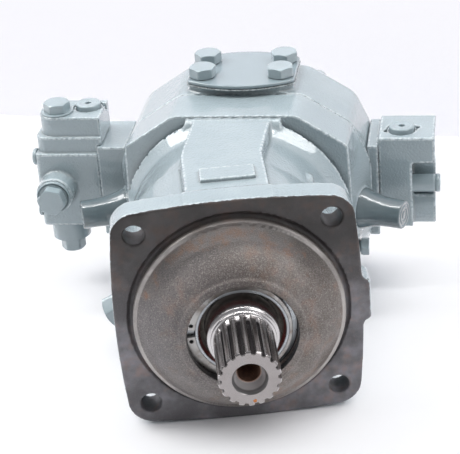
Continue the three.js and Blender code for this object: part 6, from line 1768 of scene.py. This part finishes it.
@dataclass(frozen=True)
class DriveShaft:
    """The splined shaft with its threaded centre hole, its journals and its rear flange with ball sockets."""

    teeth: int = 18
    end: float = -82.0
    tip: float = 19.8
    tooth: float = 2.3
    runout_start: float = -46.0
    runout_end: float = -37.2
    rear: float = 78.0
    flange: float = 44.0
    thread: float = 7.3
    crest: float = 0.9
    pitch: float = 2.0
    pistons: int = 7
    piston_circle: float = 31.5
    piston_ball: float = 9.0
    centre_ball: float = 10.0
    sharp_from: float = math.radians(32)

    def columns(self) -> tuple[Array, Array]:
        """The angle of each column and how deep in the gap between two teeth it lies, from 0 to 1."""
        half = np.array([0.0, 0.09, 0.17, 0.2, 0.235, 0.27, 0.31, 0.35])
        share = np.concatenate([half, [0.5], 1 - half[:0:-1]])
        gap = np.clip((np.minimum(share, 1 - share) - 0.2) / 0.13, 0, 1)
        turn = (np.arange(self.teeth)[:, None] + share[None, :]).ravel() / self.teeth
        return turn * 2 * math.pi + math.pi / 2, np.tile(gap, self.teeth)

    def hole(self, angle: Array) -> tuple[Array, Array]:
        """The centre hole from its bottom to the mouth of its thread, as radius and y by row and column.

        The thread is a helix: at each angle its crests are moved along the axis by that share of the pitch,
        and the radius goes from crest to root and back as a clipped triangle wave.
        """
        start, end = self.end + 36.0, self.end + 9.5
        y = np.linspace(start, end, 106)[:, None] + 0 * angle
        phase = np.abs(np.mod(y / self.pitch - angle / (2 * math.pi), 1.0) - 0.5) * 2
        wave = np.clip(phase * 1.6 - 0.3, 0, 1)
        fade = np.clip((y - start) / 1.5, 0, 1)
        return self.thread + self.crest * wave * fade, y

    def mouth(self) -> tuple[Array, Array, Array]:
        """Radius and y of the hole's bottom, of the mouth that opens from its thread, and of the end face."""
        bottom = [[0.0, 40.0], [6.9, 36.2]]
        mouth = [[7.5, 9.3], [8.2, 8.7], [9.8, 3.6], [10.6, 0.9], [11.4, 0.0]]
        face = [[12.5, 0.0], [14.0, 0.0], [16.0, 0.0], [17.2, 0.0]]
        bottom, mouth, face = (np.array(part) + [0.0, self.end] for part in (bottom, mouth, face))
        return bottom, soften(mouth, 0.3, 3), face

    def spline(self, gap: Array) -> Array:
        """Radius and y over the teeth: the tip, less the tooth's depth in a gap, which runs out towards the rear."""
        start = self.end + np.array([0.0, 0.3, 0.7, 1.1])
        teeth_y = np.concatenate([start, np.linspace(self.end + 2, self.runout_start, 14)])
        cap = np.interp(teeth_y, start[[0, -1]], [self.tip - 1.0, self.tip])
        runout_y = np.linspace(self.runout_start + 0.6, self.runout_end, 12)
        fill = ((runout_y - self.runout_start) / (self.runout_end - self.runout_start)) ** 2
        limit = np.concatenate([cap, np.full(len(runout_y), self.tip)])[:, None]
        depth = np.concatenate([np.ones(len(teeth_y)), 1 - fill])[:, None]
        radius = np.minimum(limit, self.tip - self.tooth * depth * gap)
        along = np.concatenate([teeth_y, runout_y])[:, None]
        return np.stack([radius, np.broadcast_to(along, radius.shape)], -1)

    def journals(self) -> Array:
        """Radius and y from the end of the spline over the journals to the rim of the rear flange."""
        corners = np.array([
            [19.8, -37.0], [20.0, -36.7], [20.9, -36.6], [21.2, -36.0], [21.3, -35.4], [22.4, -35.2], [23.6, -33.9],
            [23.7, -33.0], [23.7, -11.2], [24.4, -10.6], [25.0, -10.6], [25.0, 14.0], [29.4, 14.0], [30.0, 14.6],
            [30.0, 51.3], [36.0, 51.3], [36.0, 59.3], [self.flange - 1, 59.3], [self.flange, 60.3],
            [self.flange, self.rear - 1], [self.flange - 1, self.rear],
        ])
        return soften(corners, 0.35, 3)

    def grid(self) -> Array:
        """Every point of the shaft, from the bottom of its centre hole round the outside to the middle of its rear."""
        angle, gap = self.columns()
        bottom, mouth, face, journals = (
            np.broadcast_to(part[:, None, :], (len(part), len(angle), 2)) for part in (*self.mouth(), self.journals())
        )
        thread = np.stack(self.hole(angle), -1)
        inner = np.linspace(self.flange - 1.6, 0.0, 60)[:, None] + 0 * angle
        rear = np.stack([inner, self.rear - self.sockets(inner, angle[None, :])], -1)
        flat = np.concatenate([bottom, thread, mouth, face, self.spline(gap), journals, rear])
        return np.stack([flat[..., 0] * np.cos(angle), flat[..., 1], flat[..., 0] * np.sin(angle)], -1)

    def sockets(self, radius: Array, angle: Array) -> Array:
        """How deep the rear face lies below its plane: ball sockets on a circle and one in the middle."""
        x, z = radius * np.cos(angle), radius * np.sin(angle)
        turns = math.pi / 2 + np.arange(self.pistons) * (2 * math.pi / self.pistons)
        circle = self.piston_circle
        away = (x[..., None] - circle * np.cos(turns)) ** 2 + (z[..., None] - circle * np.sin(turns)) ** 2
        balls = np.sqrt(np.maximum(self.piston_ball**2 - away, 0)).max(-1)
        return np.maximum(balls, np.sqrt(np.maximum(self.centre_ball**2 - radius**2, 0)))

    def assemble(self, bench: Bench) -> None:
        """Puts the shaft in."""
        points, faces = shell(self.grid())
        piece = mesh_object("splined_shaft", bench.shaft.out(points), faces)
        piece.data.set_sharp_from_angle(angle=self.sharp_from)
        bench.put(piece, Slot.SHAFT, "drive_shaft", "rotor")


@dataclass(frozen=True)
class ShaftSeal:
    """The seal, and the retaining ring in front of it."""

    ring: OpenRing = OpenRing("retaining_ring", 30.4, 34.8, 2.5, 177.0, 4.0, 1.2, 2.0, 0.4)
    ring_y: float = -24.6

    def lip(self, place: Place) -> Piece:
        """A rim that carries a cup, whose lip leans on the journal."""
        rows = ((35.7, -21.5), (31.0, -21.5), (30.7, -21.8), (30.7, -24.3), (30.3, -24.7))
        rows += ((28.9, -24.7), (28.5, -24.3), (28.2, -23.0), (27.5, -21.6), (27.0, -20.0))
        rows += ((26.6, -16.6), (25.0, -15.4), (24.1, -15.2), (24.0, -14.6), (25.4, -13.2))
        rows += ((27.6, -13.4), (28.6, -18.5), (32.7, -18.5), (32.7, -11.5), (35.7, -11.5))
        return Turned("lip_seal", rows + rows[:1], 0.0, 0.4, 144).dress(place)

    def assemble(self, bench: Bench) -> None:
        """Puts the seal and its ring in."""
        bench.put(self.lip(bench.shaft), Slot.SEAL, "shaft_seal")
        bench.put(self.ring.dress(bench.shaft.at((0, self.ring_y, 0), BACK)), Slot.RING, "seal_circlip")


# ---- camera, light and table


@dataclass(frozen=True)
class Studio:
    """The camera, the pale table and wall, and the soft light."""

    camera_at: tuple[float, float, float] = (-0.0393, -0.9340, 0.5503)
    right: tuple[float, float, float] = (0.9948, -0.0754, -0.0681)
    down: tuple[float, float, float] = (-0.0952, -0.4571, -0.8843)
    ahead: tuple[float, float, float] = (0.0356, 0.8862, -0.4619)
    focal: float = 1650.0
    width: int = 460
    height: int = 454

    def camera(self, place: Place) -> Piece:
        """The camera, looking down at the drive end from the front."""
        data = bpy.data.cameras.new("camera")
        data.sensor_width = 36.0
        data.lens = 36.0 * self.focal / self.width
        data.clip_end = 20
        made = bpy.data.objects.new("camera", data)
        axes = np.stack([self.right, [-c for c in self.down], [-c for c in self.ahead]], 1)
        turn, _ = np.linalg.qr(axes)
        turn *= np.sign((turn * axes).sum(0))
        matrix = Matrix([list(row) + [0.0] for row in turn] + [[0.0, 0.0, 0.0, 1.0]])
        matrix.translation = Vector(place.origin + np.array(self.camera_at))
        made.matrix_world = matrix
        bpy.context.scene.collection.objects.link(made)
        bpy.context.scene.camera = made
        return made

    def on_floor(self, place: Place, across: float, down: float) -> Array:
        """Where the ray through a point of the view, counted from its upper left corner, meets the floor."""
        ray = np.array(self.ahead) * self.focal
        ray = ray + np.array(self.right) * (across - self.width / 2) + np.array(self.down) * (down - self.height / 2)
        start = place.origin + np.array(self.camera_at)
        return start + ray * (-start[2] / ray[2])

    def backdrop(self, place: Place) -> None:
        """A white table, and a pale wall along a straight line on it that can only be seen from the drive end."""
        left, right = self.on_floor(place, -120, 109), self.on_floor(place, 580, 143)
        along = (right - left) / np.linalg.norm(right - left)
        left, right = left - along * 3, right + along * 3
        towards = np.array([along[1], -along[0], 0.0])
        towards = towards if towards[1] < 0 else -towards
        floor = np.stack([left - towards * 6, right - towards * 6, right + towards * 8, left + towards * 8])
        wall = np.stack([left, right, right + [0, 0, 4.0], left + [0, 0, 4.0]])
        table = mesh_object("table", floor, np.array([[3, 2, 1, 0]]))
        back = mesh_object("wall", wall, np.array([[0, 1, 2, 3]]))
        table.data.materials.append(self.pale("table_white", (0.9, 0.9, 0.92), 0.3, (0.975, 0.98, 1.0)))
        back.data.materials.append(self.pale("wall_white", (0.85, 0.85, 0.9), 0.0, (0.955, 0.95, 1.0)))

    def pale(self, name: str, colour: Colour, shadow: float, glow: Colour) -> Material:
        """A pale matt surface that the camera and reflections see at its own colour, with the object's shadow.

        The camera doesn't see it from behind, so that it never hides the object.
        """
        material, g = new_material(name)
        cloth = g.noise(g.here(), 30.0, 5.0, 0.7)
        tint = g.mix(g.ramp(cloth, 0.3, 0.75), colour, tuple(c * 0.985 for c in colour))
        matt = g.add("BsdfDiffuse", {"Color": tint})
        shine = g.add("Emission", {"Color": glow, "Strength": 1.0})
        path = g.add("LightPath")
        seen = g.math("ADD", path.outputs["Is Camera Ray"], path.outputs["Is Glossy Ray"])
        seen = g.math("ADD", seen, path.outputs["Is Transmission Ray"], clamp=True)
        open_sky = g.add("AmbientOcclusion", {"Distance": 0.25}, samples=8).outputs["AO"]
        share = g.product(seen, 1.0 - shadow, g.ramp(open_sky, 0.25, 0.65))
        blend = g.add("MixShader", {0: share, 1: matt.outputs[0], 2: shine.outputs[0]})
        rear = g.product(g.add("NewGeometry").outputs["Backfacing"], path.outputs["Is Camera Ray"])
        clear = g.add("MixShader", {0: rear, 1: blend.outputs[0], 2: g.add("BsdfTransparent").outputs[0]})
        g.add("OutputMaterial", {0: clear.outputs[0]})
        return material

    def lamp(self, name: str, place: Array, target: Array, size: float, power: float, depth: float = 0.0) -> None:
        """A soft lamp aimed at a point: square, or a strip of a lesser depth."""
        data = bpy.data.lights.new(name, "AREA")
        data.shape = "RECTANGLE"
        data.size = size
        data.size_y = depth or size
        data.energy = power
        made = bpy.data.objects.new(name, data)
        made.location = Vector(place)
        made.rotation_euler = (Vector(target) - Vector(place)).to_track_quat("-Z", "Y").to_euler()
        bpy.context.scene.collection.objects.link(made)

    def light(self) -> None:
        """Broad lamps high behind, overhead and at each side, a thin strip, a weak fill and an even surround."""
        aim = np.array([0, 0.0, 0.08])
        lamps = (
            ("behind", (0.0, 1.35, 1.15), 1.7, 24.0, 0.0),
            ("overhead", (0.0, 0.45, 1.5), 1.5, 13.0, 0.0),
            ("strip", (0.0, 0.02, 1.3), 1.1, 5.0, 0.07),
            ("left", (-1.0, 0.45, 1.25), 0.9, 20.0, 0.0),
            ("right", (1.0, 0.25, 1.25), 0.9, 22.0, 0.0),
            ("front", (0.9, -0.9, 1.1), 0.8, 5.0, 0.0),
        )
        for name, at, size, power, depth in lamps:
            self.lamp(name, np.array(at), aim, size, power, depth)
        world = bpy.data.worlds.new("surround")
        world.use_nodes = True
        back = world.node_tree.nodes["Background"]
        back.inputs[0].default_value = (0.95, 0.96, 1.0, 1.0)
        back.inputs[1].default_value = 0.27
        bpy.context.scene.world = world
        bpy.context.scene.view_settings.view_transform = "Standard"


# ---- the pump


def dress_the_rest(bench: Bench) -> None:
    """Gives the CAD nodes that stay the finish of their slot in the record."""
    slots = {part["node"]: Slot(part["material_slot"]) for part in bench.frame["record"]["subparts"]}
    for name, node in bench.frame["nodes"].items():
        for index in range(len(node.data.materials)):
            node.data.materials[index] = bench.finishes[slots[name]]


def main() -> None:
    """Loads the frame, builds each sub-assembly, dresses what stays, and sets the stage."""
    logging.basicConfig(level=logging.INFO, format="%(message)s")
    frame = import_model()
    shaft, bent = joint_place(frame, "shaft_spin"), joint_place(frame, "swivel_angle", BEND)
    studio = Studio()
    studio.camera(shaft)
    groups = Groups()
    # Painted shade: the stop caps get a darker copy of the paint, for the dark reflections along their barrels.
    shaded_cap_paint = PaintFinish("shaded_cap_paint", (0.1, 0.135, 0.147), peel=0.3)
    bench = Bench(frame, shaft, bent, make_finishes(groups, shaft), shaded_cap_paint.build(groups))
    castings = (FrontCasting(), EndCasting())
    controls = (LeftValveBlock(), RightValveBlock(), EndBlock("left", -90.3, -112.3), EndBlock("right", 90.3, 98.3))
    for assembly in (*castings, *controls, Cover(), StopCaps(), SidePlugs(), DriveShaft(), ShaftSeal(), SpoolSpring()):
        assembly.assemble(bench)
    dress_the_rest(bench)
    studio.backdrop(shaft)
    studio.light()
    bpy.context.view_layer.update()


if __name__ == "__main__":
    main()
